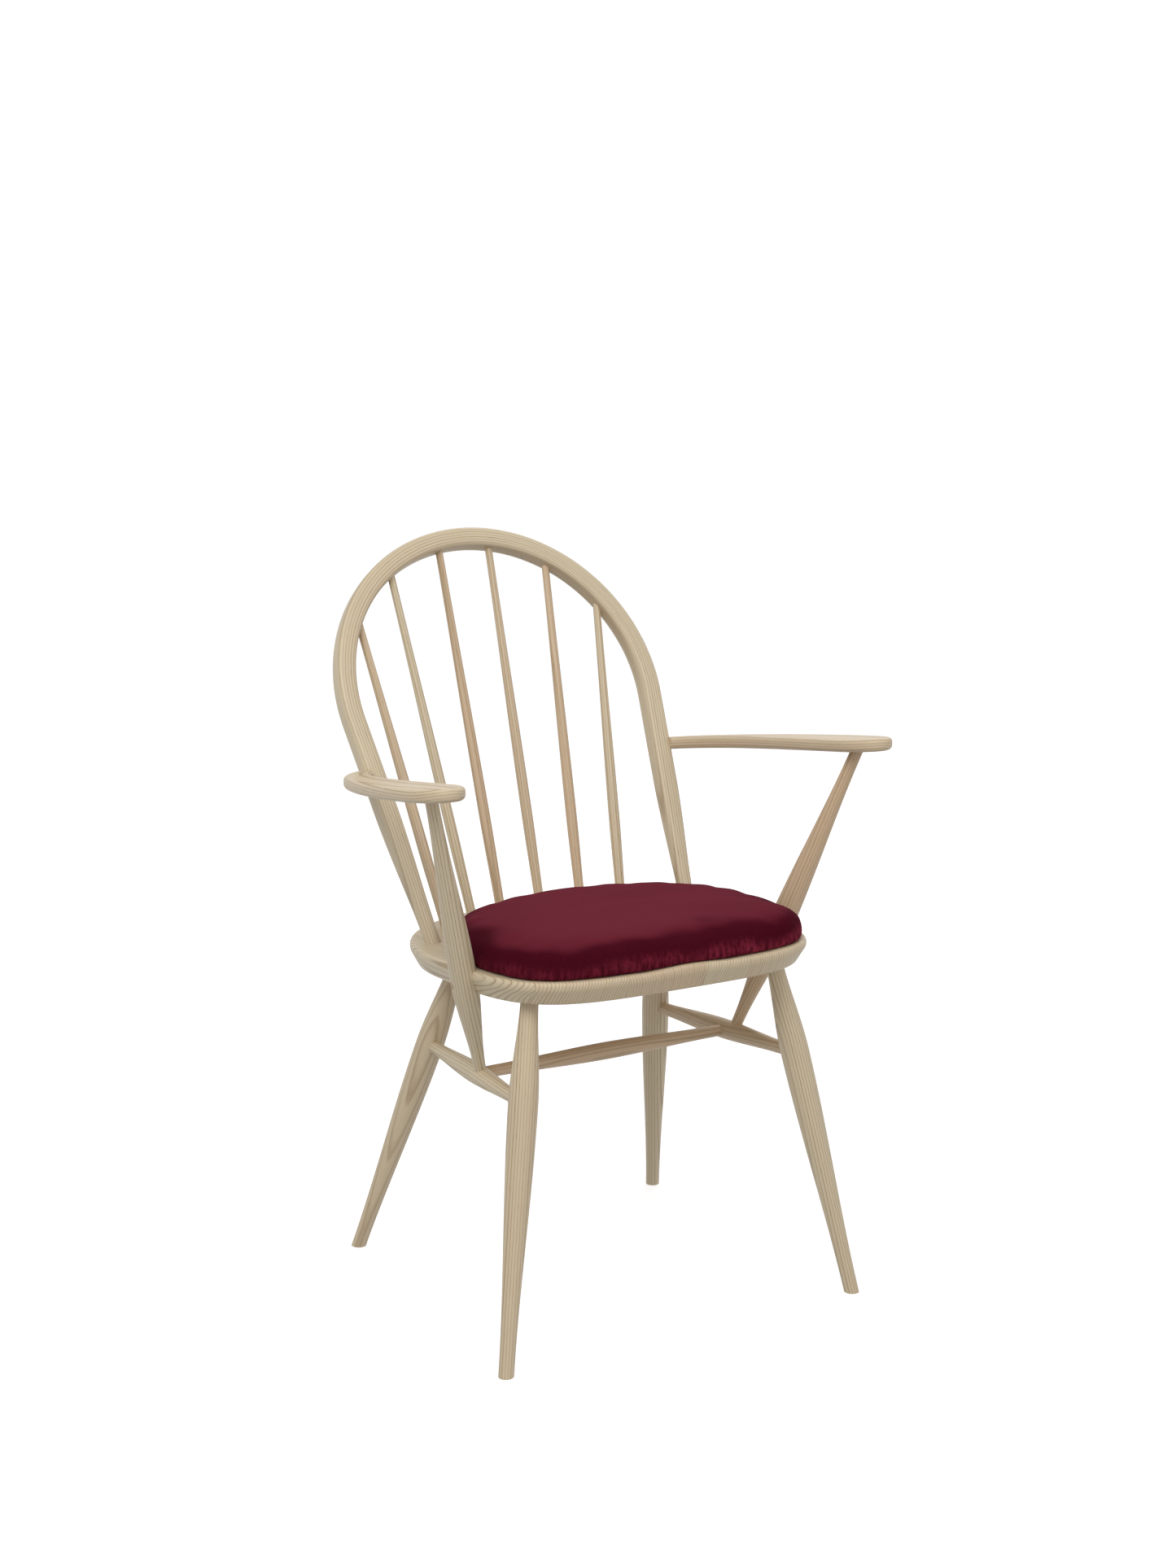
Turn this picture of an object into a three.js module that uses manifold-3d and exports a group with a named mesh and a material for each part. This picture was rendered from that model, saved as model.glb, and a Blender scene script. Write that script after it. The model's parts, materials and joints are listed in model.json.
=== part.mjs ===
// A Windsor armchair: a saddled plank seat on four splayed legs, a bent hoop with six spindles,
// two flat arms on turned stumps, and a loose upholstered seat cushion.
// Millimetres, +Z up, the sitter faces -Y and has +X on the left-hand side.
import * as THREE from 'three';
import { mergeVertices } from 'three/addons/utils/BufferGeometryUtils.js';
import Module from 'manifold-3d';

// ---- Driving dimensions -------------------------------------------------------------------

const GAP = 0.3;                 // clearance left between pieces that are glued or rest together
const GLUE_LINE = 0.1;           // half of the gap at each glued edge of the seat boards

// Seat: a plank that slopes down to the back, with a fuller front half and a rounder back half.
const SEAT_HEIGHT = 440.5;       // top of the front rim above the floor
const SEAT_THICKNESS = 28;
const SEAT_SLOPE = 0.056;        // fall per millimetre towards the back
const SEAT_HALF_WIDTH = 215;
const SEAT_FRONT_REACH = 228;    // from the widest line to the front edge
const SEAT_REAR_REACH = 200;     // from the widest line to the back edge
const SEAT_FRONT_SQUARENESS = 4;
const SEAT_REAR_SQUARENESS = 2.15;
const SEAT_WIDEST_Y = 20;
const SEAT_UNDERCUT = 10;        // how far the underside's edge stands in from the rim
const SADDLE_DEPTH = 9;
const SADDLE_BORDER = 26;        // flat rim outside the hollow, at the sides and the front
const SADDLE_BACK_Y = 128;       // where the hollow ends in front of the spindles
const POMMEL_RISE = 2.5;         // swell of the front rim at the middle
const POMMEL_HALF_WIDTH = 60;
const POMMEL_LENGTH = 150;       // from the front edge to where the swell ends
const SEAT_FLAT_SHARE = 0.25;    // middle share of the hollow that has its full depth
const BOARD_SEAMS = [-180, -80, 20, 80, 182];

// Legs, as a foot on the floor and a place on the seat's underside.
const LEG_FRONT = { footX: 235.5, footY: -201.5, seatX: 163.5, seatY: -128.7 };
const LEG_REAR = { footX: 216.6, footY: 226.5, seatX: 138, seatY: 91.8 };
const LEG_FOOT_RADIUS = 8.8;
const LEG_BELLY_RADIUS = 17;
const LEG_TENON_RADIUS = 10.2;
const WEDGE_DEPTH = 20;
const WEDGE_THICKNESS = 2.4;
const WEDGE_TIP_THICKNESS = 0.8;

// Stretchers. The height is where each one meets the leg's axis.
const STRETCHER_FRONT_HEIGHT = 294.5;
const STRETCHER_REAR_HEIGHT = 281.7;
const STRETCHER_END_RADIUS = 7.7;
const STRETCHER_BELLY_RADIUS = 12.2;
const STRETCHER_PAST_AXIS = 5;   // how far the end runs past the leg's axis
const STRETCHER_NECK = 16;       // straight length at each end, from the joint's axis
const CROSS_Y = -16;
const CROSS_END_RADIUS = 7;
const CROSS_BELLY_RADIUS = 10.5;

// Hoop: straight legs that run tangent into a round top, in a plane that leans back.
const HOOP_FOOT_SPREAD = 178;    // half the distance between the feet on the seat
const HOOP_FOOT_Y = 83.5;
const HOOP_RISE = 514;           // seat to the crown, along the plane
const HOOP_TOP_RADIUS = 209.5;
const HOOP_LEAN = 30.6;          // degrees from upright
const HOOP_HALF_WIDTH = 12.4;    // across the section, in the hoop's plane
const HOOP_HALF_DEPTH = 12.8;    // across the section, square to the plane
const HOOP_SQUARENESS = 3.4;
const HOOP_TENON_RADIUS = 9.2;
const HOOP_TAPER_LENGTH = 170;   // from the seat up to the full section
const HOOP_ARC_STEPS = 26;

// Spindles, from the middle of the back outwards: place on the seat, and how far along the
// hoop's half width the top lands.
const SPINDLES = [
  { seatX: 28, seatY: 194, topX: 35.4 },
  { seatX: 77, seatY: 177, topX: 110.6 },
  { seatX: 124.5, seatY: 156.5, topX: 170.5 },
];
const SPINDLE_FOOT_RADIUS = 5.9;
const SPINDLE_BELLY_RADIUS = 6.9;
const SPINDLE_TOP_RADIUS = 4.6;
const SPINDLE_BELLY_AT = 0.24;
const SPINDLE_TENON = 17;        // depth in the seat
const SPINDLE_TOP_TENON = 11;    // depth in the hoop

// Arms: a flat plank that leaves the hoop sideways, curves forward and ends in a broad round tip.
const STUMP_TOP_X = 281.3;
const STUMP_TOP_Y = -126;
const STUMP_FOOT_Y = -30;
const STUMP_SEAT_Y = -66;        // where the stump passes the seat's edge
const ARM_FRONT_HEIGHT = 661;    // top of the arm over the stump
const ARM_REAR_HEIGHT = 615.5;   // top of the arm at the hoop
const ARM_THICKNESS = 15;
const ARM_EDGE = 4.5;            // rounding of the edges
const ARM_REAR_HALF = 12.5;
const ARM_WAIST_HALF = 17;
const ARM_TIP_HALF = 30.5;
const ARM_TIP_LENGTH = 55;       // from the stump to the tip
const ARM_SWEEP_OUT = 52;        // how strongly the arm sets off sideways
const ARM_SWEEP_IN = 170;        // how strongly it runs straight at the front
const ARM_HOUSING = 4;           // depth of the end in the hoop's side
const STUMP_FOOT_RADIUS = 7;
const STUMP_BELLY_RADIUS = 15.6;
const STUMP_TOP_RADIUS = 7.3;
const STUMP_TENON = 9;           // depth in the arm
const STUMP_FOOT_CUT = 2.5;      // from the side stretcher's axis to the end of the foot
const DOWEL_RADIUS = 4;
const STUMP_DOWEL_IN_SEAT = 24;
const STUMP_DOWEL_IN_STUMP = 9;
const ARM_DOWEL_IN_HOOP = 9;
const ARM_DOWEL_IN_ARM = 16;

// Cushion, which follows the seat's surface.
const CUSHION_HALF_WIDTH = 203;
const CUSHION_WIDEST_Y = -40;
const CUSHION_FRONT_REACH = 166;
const CUSHION_REAR_REACH = 174;
const CUSHION_FRONT_SQUARENESS = 3.9;
const CUSHION_REAR_SQUARENESS = 2.05;
const CUSHION_EDGE_HEIGHT = 37;  // seat to the start of the top's roll
const CUSHION_CROWN = 3.5;       // further rise at the middle
const COVER_THICKNESS = 2;
const BASE_CLOTH_THICKNESS = 1.5;
const HEM_WIDTH = 16;            // turned under all round the open underside
const CUSHION_CLEARANCE = 0.5;   // over the seat
const STUMP_DENT_CLEARANCE = 1;  // between the cushion's side and a stump

// ---- Vectors and easing -------------------------------------------------------------------

const vec = (x, y, z) => new THREE.Vector3(x, y, z);
const mirrorX = (p) => vec(-p.x, p.y, p.z);
const smooth = (t) => THREE.MathUtils.smoothstep(t, 0, 1);
const lerp = THREE.MathUtils.lerp;

// The point where the line from a to b is at a given height.
function atHeight(a, b, z) {
  return a.clone().lerp(b, (z - a.z) / (b.z - a.z));
}

// ---- Solids -------------------------------------------------------------------------------

const wasm = await Module();
wasm.setup();

// A closed solid from a three.js geometry.
function solidOf(geometry) {
  const bare = geometry.clone();
  bare.deleteAttribute('normal');
  bare.deleteAttribute('uv');
  const merged = mergeVertices(bare, 1e-4);
  const index = merged.index.array;
  const triangles = [];
  for (let i = 0; i < index.length; i += 3) {
    const [a, b, c] = [index[i], index[i + 1], index[i + 2]];
    if (a !== b && b !== c && c !== a) triangles.push(a, b, c);
  }
  return new wasm.Manifold(new wasm.Mesh({
    numProp: 3,
    vertProperties: merged.attributes.position.array,
    triVerts: Uint32Array.from(triangles),
  }));
}

function geometryOf(manifold) {
  const mesh = manifold.getMesh();
  const geometry = new THREE.BufferGeometry();
  geometry.setAttribute('position', new THREE.BufferAttribute(mesh.vertProperties, 3));
  geometry.setIndex(new THREE.BufferAttribute(mesh.triVerts, 1));
  geometry.computeVertexNormals();
  return geometry;
}

// A closed skin through rings of equal size that run anticlockwise seen from the last one,
// with a fan to a point at each end.
function skin(rings, firstPoint, lastPoint) {
  const count = rings[0].length;
  const points = [firstPoint, ...rings.flat(), lastPoint];
  const last = points.length - 1;
  const index = [];
  for (let k = 0; k < count; k++) {
    const next = (k + 1) % count;
    index.push(0, 1 + next, 1 + k);
    for (let i = 0; i + 1 < rings.length; i++) {
      const low = 1 + i * count;
      const high = low + count;
      index.push(low + k, low + next, high + next, low + k, high + next, high + k);
    }
    index.push(last, last - count + k, last - count + next);
  }
  const geometry = new THREE.BufferGeometry();
  geometry.setFromPoints(points);
  geometry.setIndex(index);
  return solidOf(geometry);
}

// A turned piece between two points. Stops are [distance from the first point, radius], with a
// smooth swell from each stop to the next.
function turned(from, to, stops, facets, grow = 0) {
  const profile = [new THREE.Vector2(0, stops[0][0])];
  stops.slice(0, -1).forEach(([start, radius], i) => {
    const [end, nextRadius] = stops[i + 1];
    const steps = radius === nextRadius ? 1 : Math.max(2, Math.round((end - start) / 40));
    for (let k = 0; k < steps; k++) {
      const at = lerp(start, end, k / steps);
      profile.push(new THREE.Vector2(lerp(radius, nextRadius, smooth(k / steps)) + grow, at));
    }
  });
  const [end, endRadius] = stops[stops.length - 1];
  profile.push(new THREE.Vector2(endRadius + grow, end), new THREE.Vector2(0, end));
  const geometry = new THREE.LatheGeometry(profile, facets);
  const axis = to.clone().sub(from).normalize();
  geometry.applyQuaternion(new THREE.Quaternion().setFromUnitVectors(vec(0, 1, 0), axis));
  geometry.translate(from.x, from.y, from.z);
  return solidOf(geometry);
}

// A plain round bar, used for dowels and for the holes that take them.
function bar(from, to, radius, facets) {
  return turned(from, to, [[0, radius], [from.distanceTo(to), radius]], facets);
}

// A box placed by its centre and the directions of its X and Z edges.
function framedBox(centre, xAxis, zAxis, size) {
  const geometry = new THREE.BoxGeometry(size.x, size.y, size.z);
  const yAxis = zAxis.clone().cross(xAxis);
  const matrix = new THREE.Matrix4().makeBasis(xAxis, yAxis, zAxis).setPosition(centre);
  return solidOf(geometry.applyMatrix4(matrix));
}

// ---- Seat surface -------------------------------------------------------------------------

const SEAT_OUTLINE = {
  centreY: SEAT_WIDEST_Y, halfWidth: SEAT_HALF_WIDTH,
  front: SEAT_FRONT_REACH, rear: SEAT_REAR_REACH,
  frontPower: SEAT_FRONT_SQUARENESS, rearPower: SEAT_REAR_SQUARENESS,
};
const SEAT_FRONT_Y = SEAT_WIDEST_Y - SEAT_FRONT_REACH;

// A point on an egg-shaped outline, at an angle from +X, moved inwards by an inset.
function outlinePoint(outline, angle, inset = 0) {
  const c = Math.cos(angle);
  const s = Math.sin(angle);
  const width = outline.halfWidth - inset;
  const reach = (s < 0 ? outline.front : outline.rear) - inset;
  const power = s < 0 ? outline.frontPower : outline.rearPower;
  const sum = Math.abs(c / width) ** power + Math.abs(s / reach) ** power;
  const radius = sum ** (-1 / power);
  return { x: radius * c, y: outline.centreY + radius * s };
}

function outlineRing(outline, inset, facets, heightAt) {
  return Array.from({ length: facets }, (_, k) => {
    const { x, y } = outlinePoint(outline, (2 * Math.PI * k) / facets, inset);
    return vec(x, y, heightAt(x, y));
  });
}

// The flat top plane of the seat, before it is hollowed.
const seatPlane = (y) => SEAT_HEIGHT - SEAT_SLOPE * (y - SEAT_FRONT_Y);
const seatUnderside = (y) => seatPlane(y) - SEAT_THICKNESS;

// Depth of the saddle below the plane: full in the middle, none at the border.
function saddleDepth(x, y) {
  const width = SEAT_HALF_WIDTH - SADDLE_BORDER;
  const middle = (SADDLE_BACK_Y + SEAT_FRONT_Y + SADDLE_BORDER) / 2;
  const reach = SADDLE_BACK_Y - middle;
  const share = Math.hypot(x / width, (y - middle) / reach);
  return SADDLE_DEPTH * (1 - smooth((share - SEAT_FLAT_SHARE) / (1 - SEAT_FLAT_SHARE)));
}

// Swell of the rim at the pommel, fading towards the back.
function pommel(x, y) {
  const across = 1 - smooth(Math.abs(x) / POMMEL_HALF_WIDTH);
  const back = 1 - smooth((y - SEAT_FRONT_Y) / POMMEL_LENGTH);
  return POMMEL_RISE * across * back;
}

const seatSurface = (x, y) => seatPlane(y) - saddleDepth(x, y) + pommel(x, y);

const SEAT_FACETS = 52;
const SEAT_TOP_INSETS = [8, 45, 85, 130, 180];

// Everything above the seat's finished surface, from a lift over it, for trimming what comes up
// through the seat and shaping what lies on it.
function aboveSeat(lift = 0) {
  const tall = 120;
  const past = -15;
  const lifted = (extra) => (x, y) => seatSurface(x, y) + lift + extra;
  const rings = [past, ...SEAT_TOP_INSETS].reverse().map(
    (inset) => outlineRing(SEAT_OUTLINE, inset, SEAT_FACETS, lifted(0)));
  rings.push(outlineRing(SEAT_OUTLINE, past, SEAT_FACETS, lifted(tall)));
  const middle = seatSurface(0, SEAT_WIDEST_Y) + lift;
  return skin(rings, vec(0, SEAT_WIDEST_Y, middle), vec(0, SEAT_WIDEST_Y, middle + tall));
}

// Everything below the seat's underside.
function belowSeat() {
  const size = 2 * (SEAT_FRONT_REACH + SEAT_REAR_REACH);
  const tall = 80;
  const up = vec(0, SEAT_SLOPE, 1).normalize();
  const face = vec(0, SEAT_WIDEST_Y, seatUnderside(SEAT_WIDEST_Y));
  return framedBox(face.addScaledVector(up, -tall / 2), vec(1, 0, 0), up, vec(size, size, tall));
}

function seatBlank() {
  // [inset, height above the underside] up the edge, from the underside to the rim
  const edge = [
    [SEAT_UNDERCUT + 2, 0],
    [SEAT_UNDERCUT, 2],
    [1, SEAT_THICKNESS - 9],
    [0, SEAT_THICKNESS - 6],
    [1.5, SEAT_THICKNESS - 1.5],
    [4, SEAT_THICKNESS],
  ];
  const rings = edge.map(([inset, height]) => {
    const share = height / SEAT_THICKNESS;
    return outlineRing(SEAT_OUTLINE, inset, SEAT_FACETS,
      (x, y) => seatUnderside(y) + height + share * (seatSurface(x, y) - seatPlane(y)));
  });
  for (const inset of SEAT_TOP_INSETS) {
    rings.push(outlineRing(SEAT_OUTLINE, inset, SEAT_FACETS, seatSurface));
  }
  const first = vec(0, SEAT_WIDEST_Y, seatUnderside(SEAT_WIDEST_Y));
  return skin(rings, first, vec(0, SEAT_WIDEST_Y, seatSurface(0, SEAT_WIDEST_Y)));
}

// ---- Legs and stretchers ------------------------------------------------------------------

const LEG_FACETS = 16;

function legAxis(place) {
  const foot = vec(place.footX, place.footY, 0);
  const seat = vec(place.seatX, place.seatY, seatUnderside(place.seatY));
  return { foot, seat, length: foot.distanceTo(seat) };
}

// The leg's axis meets the stretcher at a height; the belly sits there.
function legStops(place, stretcherHeight, past) {
  const { foot, seat, length } = legAxis(place);
  const belly = foot.distanceTo(atHeight(foot, seat, stretcherHeight));
  const below = 10;
  return [
    [-below, LEG_FOOT_RADIUS], [0, LEG_FOOT_RADIUS],
    [belly, LEG_BELLY_RADIUS], [length, LEG_TENON_RADIUS], [length + past, LEG_TENON_RADIUS],
  ];
}

// The point past the leg, along its axis, where the tenon comes through the saddle.
function legTop(place) {
  const { foot, seat } = legAxis(place);
  const top = seat.clone();
  for (let i = 0; i < 6; i++) {
    top.copy(atHeight(foot, seat, seatSurface(top.x, top.y)));
  }
  return top;
}

// A wedge that opens the tenon from above, or the kerf that takes it when grown.
function tenonWedge(top, axis, radius, grow = 0) {
  const thick = WEDGE_THICKNESS / 2 + grow;
  const thin = WEDGE_TIP_THICKNESS / 2 + grow;
  const up = 12;
  const depth = WEDGE_DEPTH + grow;
  const rise = (thick - thin) / WEDGE_DEPTH;
  const outline = new THREE.Shape([
    new THREE.Vector2(-thin, -depth), new THREE.Vector2(thin, -depth),
    new THREE.Vector2(thick + rise * up, up), new THREE.Vector2(-thick - rise * up, up),
  ]);
  const width = grow > 0 ? 2 * radius + 4 : 2 * radius - 1;
  const geometry = new THREE.ExtrudeGeometry(outline, { depth: width, bevelEnabled: false });
  geometry.translate(0, 0, -width / 2);
  geometry.rotateY(Math.PI / 2);
  geometry.applyQuaternion(new THREE.Quaternion().setFromUnitVectors(vec(0, 1, 0), axis));
  geometry.translate(top.x, top.y, top.z);
  return solidOf(geometry);
}

// A stretcher between two axis points, running past each of them.
function stretcherStops(length, past, endRadius, bellyRadius) {
  return [
    [-past, endRadius], [STRETCHER_NECK, endRadius], [length / 2, bellyRadius],
    [length - STRETCHER_NECK, endRadius], [length + past, endRadius],
  ];
}

const frontJoint = atHeight(legAxis(LEG_FRONT).foot, legAxis(LEG_FRONT).seat, STRETCHER_FRONT_HEIGHT);
const rearJoint = atHeight(legAxis(LEG_REAR).foot, legAxis(LEG_REAR).seat, STRETCHER_REAR_HEIGHT);

// A point on the side stretcher's axis, by its place from front to back.
function onSideStretcher(y) {
  return frontJoint.clone().lerp(rearJoint, (y - frontJoint.y) / (rearJoint.y - frontJoint.y));
}

function sideStretcher(grow = 0) {
  const length = frontJoint.distanceTo(rearJoint);
  const stops = stretcherStops(length, STRETCHER_PAST_AXIS + grow, STRETCHER_END_RADIUS,
    STRETCHER_BELLY_RADIUS);
  return turned(frontJoint, rearJoint, stops, 16, grow);
}

function crossStretcher(grow = 0) {
  const from = onSideStretcher(CROSS_Y);
  const to = mirrorX(from);
  const stops = stretcherStops(from.distanceTo(to), grow, CROSS_END_RADIUS, CROSS_BELLY_RADIUS);
  return turned(from, to, stops, 16, grow);
}

// ---- Hoop and spindles --------------------------------------------------------------------

const lean = THREE.MathUtils.degToRad(HOOP_LEAN);
const hoopUp = vec(0, Math.sin(lean), Math.cos(lean));
const hoopBack = vec(0, Math.cos(lean), -Math.sin(lean));
const hoopOrigin = vec(0, HOOP_FOOT_Y, seatPlane(HOOP_FOOT_Y));
const onHoopPlane = (u, v) => hoopOrigin.clone().addScaledVector(hoopUp, v).add(vec(u, 0, 0));

// The straight leg touches the round top where the line from the foot is tangent to it.
const hoopCentre = HOOP_RISE - HOOP_TOP_RADIUS;
const footDistance = Math.hypot(HOOP_FOOT_SPREAD, hoopCentre);
const tangentAngle = Math.acos(HOOP_TOP_RADIUS / footDistance)
  - Math.atan2(hoopCentre, HOOP_FOOT_SPREAD);
const hoopLegLength = Math.sqrt(footDistance ** 2 - HOOP_TOP_RADIUS ** 2);
const hoopLegAxis = { u: -Math.sin(tangentAngle), v: Math.cos(tangentAngle) };

// Centre and outward direction at a distance up the +X leg from the seat, then round the top.
function hoopLegAt(distance) {
  return {
    u: HOOP_FOOT_SPREAD + hoopLegAxis.u * distance, v: hoopLegAxis.v * distance,
    outU: Math.cos(tangentAngle), outV: Math.sin(tangentAngle),
  };
}

function hoopTopAt(angle) {
  const outU = Math.cos(angle);
  const outV = Math.sin(angle);
  return { u: HOOP_TOP_RADIUS * outU, v: hoopCentre + HOOP_TOP_RADIUS * outV, outU, outV };
}

const HOOP_SECTION_FACETS = 12;

// One ring of the hoop: round at the foot, a soft square above the taper.
function hoopRing(at, full) {
  const halfWidth = lerp(HOOP_TENON_RADIUS, HOOP_HALF_WIDTH, full);
  const halfDepth = lerp(HOOP_TENON_RADIUS, HOOP_HALF_DEPTH, full);
  const power = lerp(2, HOOP_SQUARENESS, full);
  return Array.from({ length: HOOP_SECTION_FACETS }, (_, k) => {
    const angle = (2 * Math.PI * k) / HOOP_SECTION_FACETS;
    const c = Math.cos(angle);
    const s = Math.sin(angle);
    const sum = Math.abs(c / halfWidth) ** power + Math.abs(s / halfDepth) ** power;
    const radius = sum ** (-1 / power);
    return onHoopPlane(at.u + radius * c * at.outU, at.v + radius * c * at.outV)
      .addScaledVector(hoopBack, radius * s);
  });
}

const HOOP_TENON = SEAT_THICKNESS / Math.cos(lean) + 12;

function hoopSolid() {
  const half = [-HOOP_TENON, 0, 30, 60, 95, 130, HOOP_TAPER_LENGTH, 235].map((distance) => ({
    at: hoopLegAt(distance), full: smooth(distance / HOOP_TAPER_LENGTH),
  }));
  const stations = [...half];
  for (let i = 0; i <= HOOP_ARC_STEPS; i++) {
    const angle = lerp(tangentAngle, Math.PI - tangentAngle, i / HOOP_ARC_STEPS);
    stations.push({ at: hoopTopAt(angle), full: 1 });
  }
  for (const { at, full } of [...half].reverse()) {
    stations.push({ at: { u: -at.u, v: at.v, outU: -at.outU, outV: at.outV }, full });
  }
  const rings = stations.map(({ at, full }) => hoopRing(at, full));
  const ends = [stations[0], stations[stations.length - 1]].map(({ at }) => onHoopPlane(at.u, at.v));
  return skin(rings, ends[0], ends[1]);
}

// Where a spindle's axis meets the hoop's centreline.
function spindleTop(place) {
  const angle = Math.acos(place.topX / HOOP_TOP_RADIUS);
  const at = hoopTopAt(angle);
  return onHoopPlane(at.u, at.v);
}

function spindleSolid(place, grow = 0) {
  const foot = vec(place.seatX, place.seatY, seatPlane(place.seatY));
  const centre = spindleTop(place);
  const length = foot.distanceTo(centre) - HOOP_HALF_WIDTH + SPINDLE_TOP_TENON;
  const stops = [
    [-SPINDLE_TENON - grow, SPINDLE_FOOT_RADIUS], [0, SPINDLE_FOOT_RADIUS],
    [length * SPINDLE_BELLY_AT, SPINDLE_BELLY_RADIUS],
    [length - SPINDLE_TOP_TENON, SPINDLE_TOP_RADIUS], [length + grow, SPINDLE_TOP_RADIUS],
  ];
  return turned(foot, centre, stops, 12, grow);
}

// ---- Arms and stumps ----------------------------------------------------------------------

const armTop = vec(STUMP_TOP_X, STUMP_TOP_Y, ARM_FRONT_HEIGHT - ARM_THICKNESS);
const stumpFoot = onSideStretcher(STUMP_FOOT_Y);
const stumpAtSeat = atHeight(stumpFoot, armTop, seatUnderside(STUMP_SEAT_Y) + SEAT_THICKNESS / 2);

function stumpSolid(grow = 0) {
  const length = stumpFoot.distanceTo(armTop);
  const stops = [
    [STUMP_FOOT_CUT - grow, STUMP_FOOT_RADIUS], [STRETCHER_BELLY_RADIUS, STUMP_FOOT_RADIUS],
    [stumpFoot.distanceTo(stumpAtSeat), STUMP_BELLY_RADIUS],
    [length, STUMP_TOP_RADIUS], [length + STUMP_TENON + grow, STUMP_TOP_RADIUS],
  ];
  return turned(stumpFoot, armTop, stops, 20, grow);
}

// Where the arm meets the hoop: a place up the hoop's leg, or round its top, at the arm's middle
// height.
const armJointRise = (ARM_REAR_HEIGHT - ARM_THICKNESS / 2 - hoopOrigin.z) / hoopUp.z;
const armJoint = armJointRise < hoopLegLength * hoopLegAxis.v
  ? hoopLegAt(armJointRise / hoopLegAxis.v)
  : hoopTopAt(Math.asin((armJointRise - hoopCentre) / HOOP_TOP_RADIUS));
const armJointPoint = onHoopPlane(armJoint.u, armJoint.v);
const armJointOut = vec(armJoint.outU, 0, 0).addScaledVector(hoopUp, armJoint.outV);
const armSlope = (ARM_REAR_HEIGHT - ARM_FRONT_HEIGHT) / (armJointPoint.y - STUMP_TOP_Y);
const armPlane = (y) => ARM_FRONT_HEIGHT + armSlope * (y - STUMP_TOP_Y);

// Plan outline: the two edges stand off a curve from the hoop to the stump, and an ellipse
// closes the tip.
function armOutline() {
  const start = new THREE.Vector2(armJointPoint.x, armJointPoint.y);
  const end = new THREE.Vector2(STUMP_TOP_X, STUMP_TOP_Y);
  const curve = new THREE.CubicBezierCurve(start,
    new THREE.Vector2(start.x + ARM_SWEEP_OUT, start.y - ARM_REAR_HALF),
    new THREE.Vector2(end.x + 1, end.y + ARM_SWEEP_IN), end);
  const outer = [];
  const inner = [];
  const steps = 14;
  for (let i = 0; i <= steps; i++) {
    const t = i / steps;
    const middle = curve.getPoint(t);
    const along = curve.getTangent(t);
    const waist = lerp(ARM_REAR_HALF, ARM_WAIST_HALF, smooth(t / 0.45));
    const half = lerp(waist, ARM_TIP_HALF, smooth((t - 0.35) / 0.65));
    outer.push(new THREE.Vector2(middle.x - along.y * half, middle.y + along.x * half));
    inner.push(new THREE.Vector2(middle.x + along.y * half, middle.y - along.x * half));
  }
  const tip = [];
  const tipSteps = 14;
  for (let i = 1; i < tipSteps; i++) {
    const angle = (Math.PI * i) / tipSteps;
    tip.push(new THREE.Vector2(end.x + ARM_TIP_HALF * Math.cos(angle),
      end.y - ARM_TIP_LENGTH * Math.sin(angle)));
  }
  return [...outer, ...tip, ...inner.reverse()];
}

function armSolid(grow = 0) {
  const outline = new THREE.Shape(armOutline());
  const geometry = new THREE.ExtrudeGeometry(outline, {
    depth: ARM_THICKNESS - 2 * ARM_EDGE, bevelEnabled: true, bevelThickness: ARM_EDGE + grow,
    bevelSize: ARM_EDGE, bevelOffset: grow - ARM_EDGE, bevelSegments: 2,
  });
  geometry.translate(0, 0, ARM_EDGE - ARM_THICKNESS);
  const position = geometry.attributes.position;
  for (let i = 0; i < position.count; i++) {
    position.setZ(i, position.getZ(i) + armPlane(position.getY(i)));
  }
  // Square the end off at the floor of its housing in the hoop.
  const reach = 80;
  const floor = HOOP_HALF_WIDTH - ARM_HOUSING - grow;
  const centre = armJointPoint.clone().addScaledVector(armJointOut, floor - reach / 2);
  const inside = framedBox(centre, armJointOut, hoopBack, vec(reach, reach, reach));
  return solidOf(geometry).subtract(inside);
}

function stumpDowel(grow = 0) {
  const face = stumpAtSeat.x - STUMP_BELLY_RADIUS;
  const from = vec(face - STUMP_DOWEL_IN_SEAT - grow, stumpAtSeat.y, stumpAtSeat.z);
  const to = vec(face + STUMP_DOWEL_IN_STUMP + grow, stumpAtSeat.y, stumpAtSeat.z);
  return bar(from, to, DOWEL_RADIUS + grow, 12);
}

function armDowel(grow = 0) {
  const floor = HOOP_HALF_WIDTH - ARM_HOUSING;
  const from = armJointPoint.clone().addScaledVector(armJointOut, floor - ARM_DOWEL_IN_HOOP - grow);
  const to = armJointPoint.clone().addScaledVector(armJointOut, floor + ARM_DOWEL_IN_ARM + grow);
  return bar(from, to, DOWEL_RADIUS + grow, 12);
}

// ---- Cushion ------------------------------------------------------------------------------

const CUSHION_OUTLINE = {
  centreY: CUSHION_WIDEST_Y, halfWidth: CUSHION_HALF_WIDTH,
  front: CUSHION_FRONT_REACH, rear: CUSHION_REAR_REACH,
  frontPower: CUSHION_FRONT_SQUARENESS, rearPower: CUSHION_REAR_SQUARENESS,
};

const CUSHION_FACETS = 40;

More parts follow.
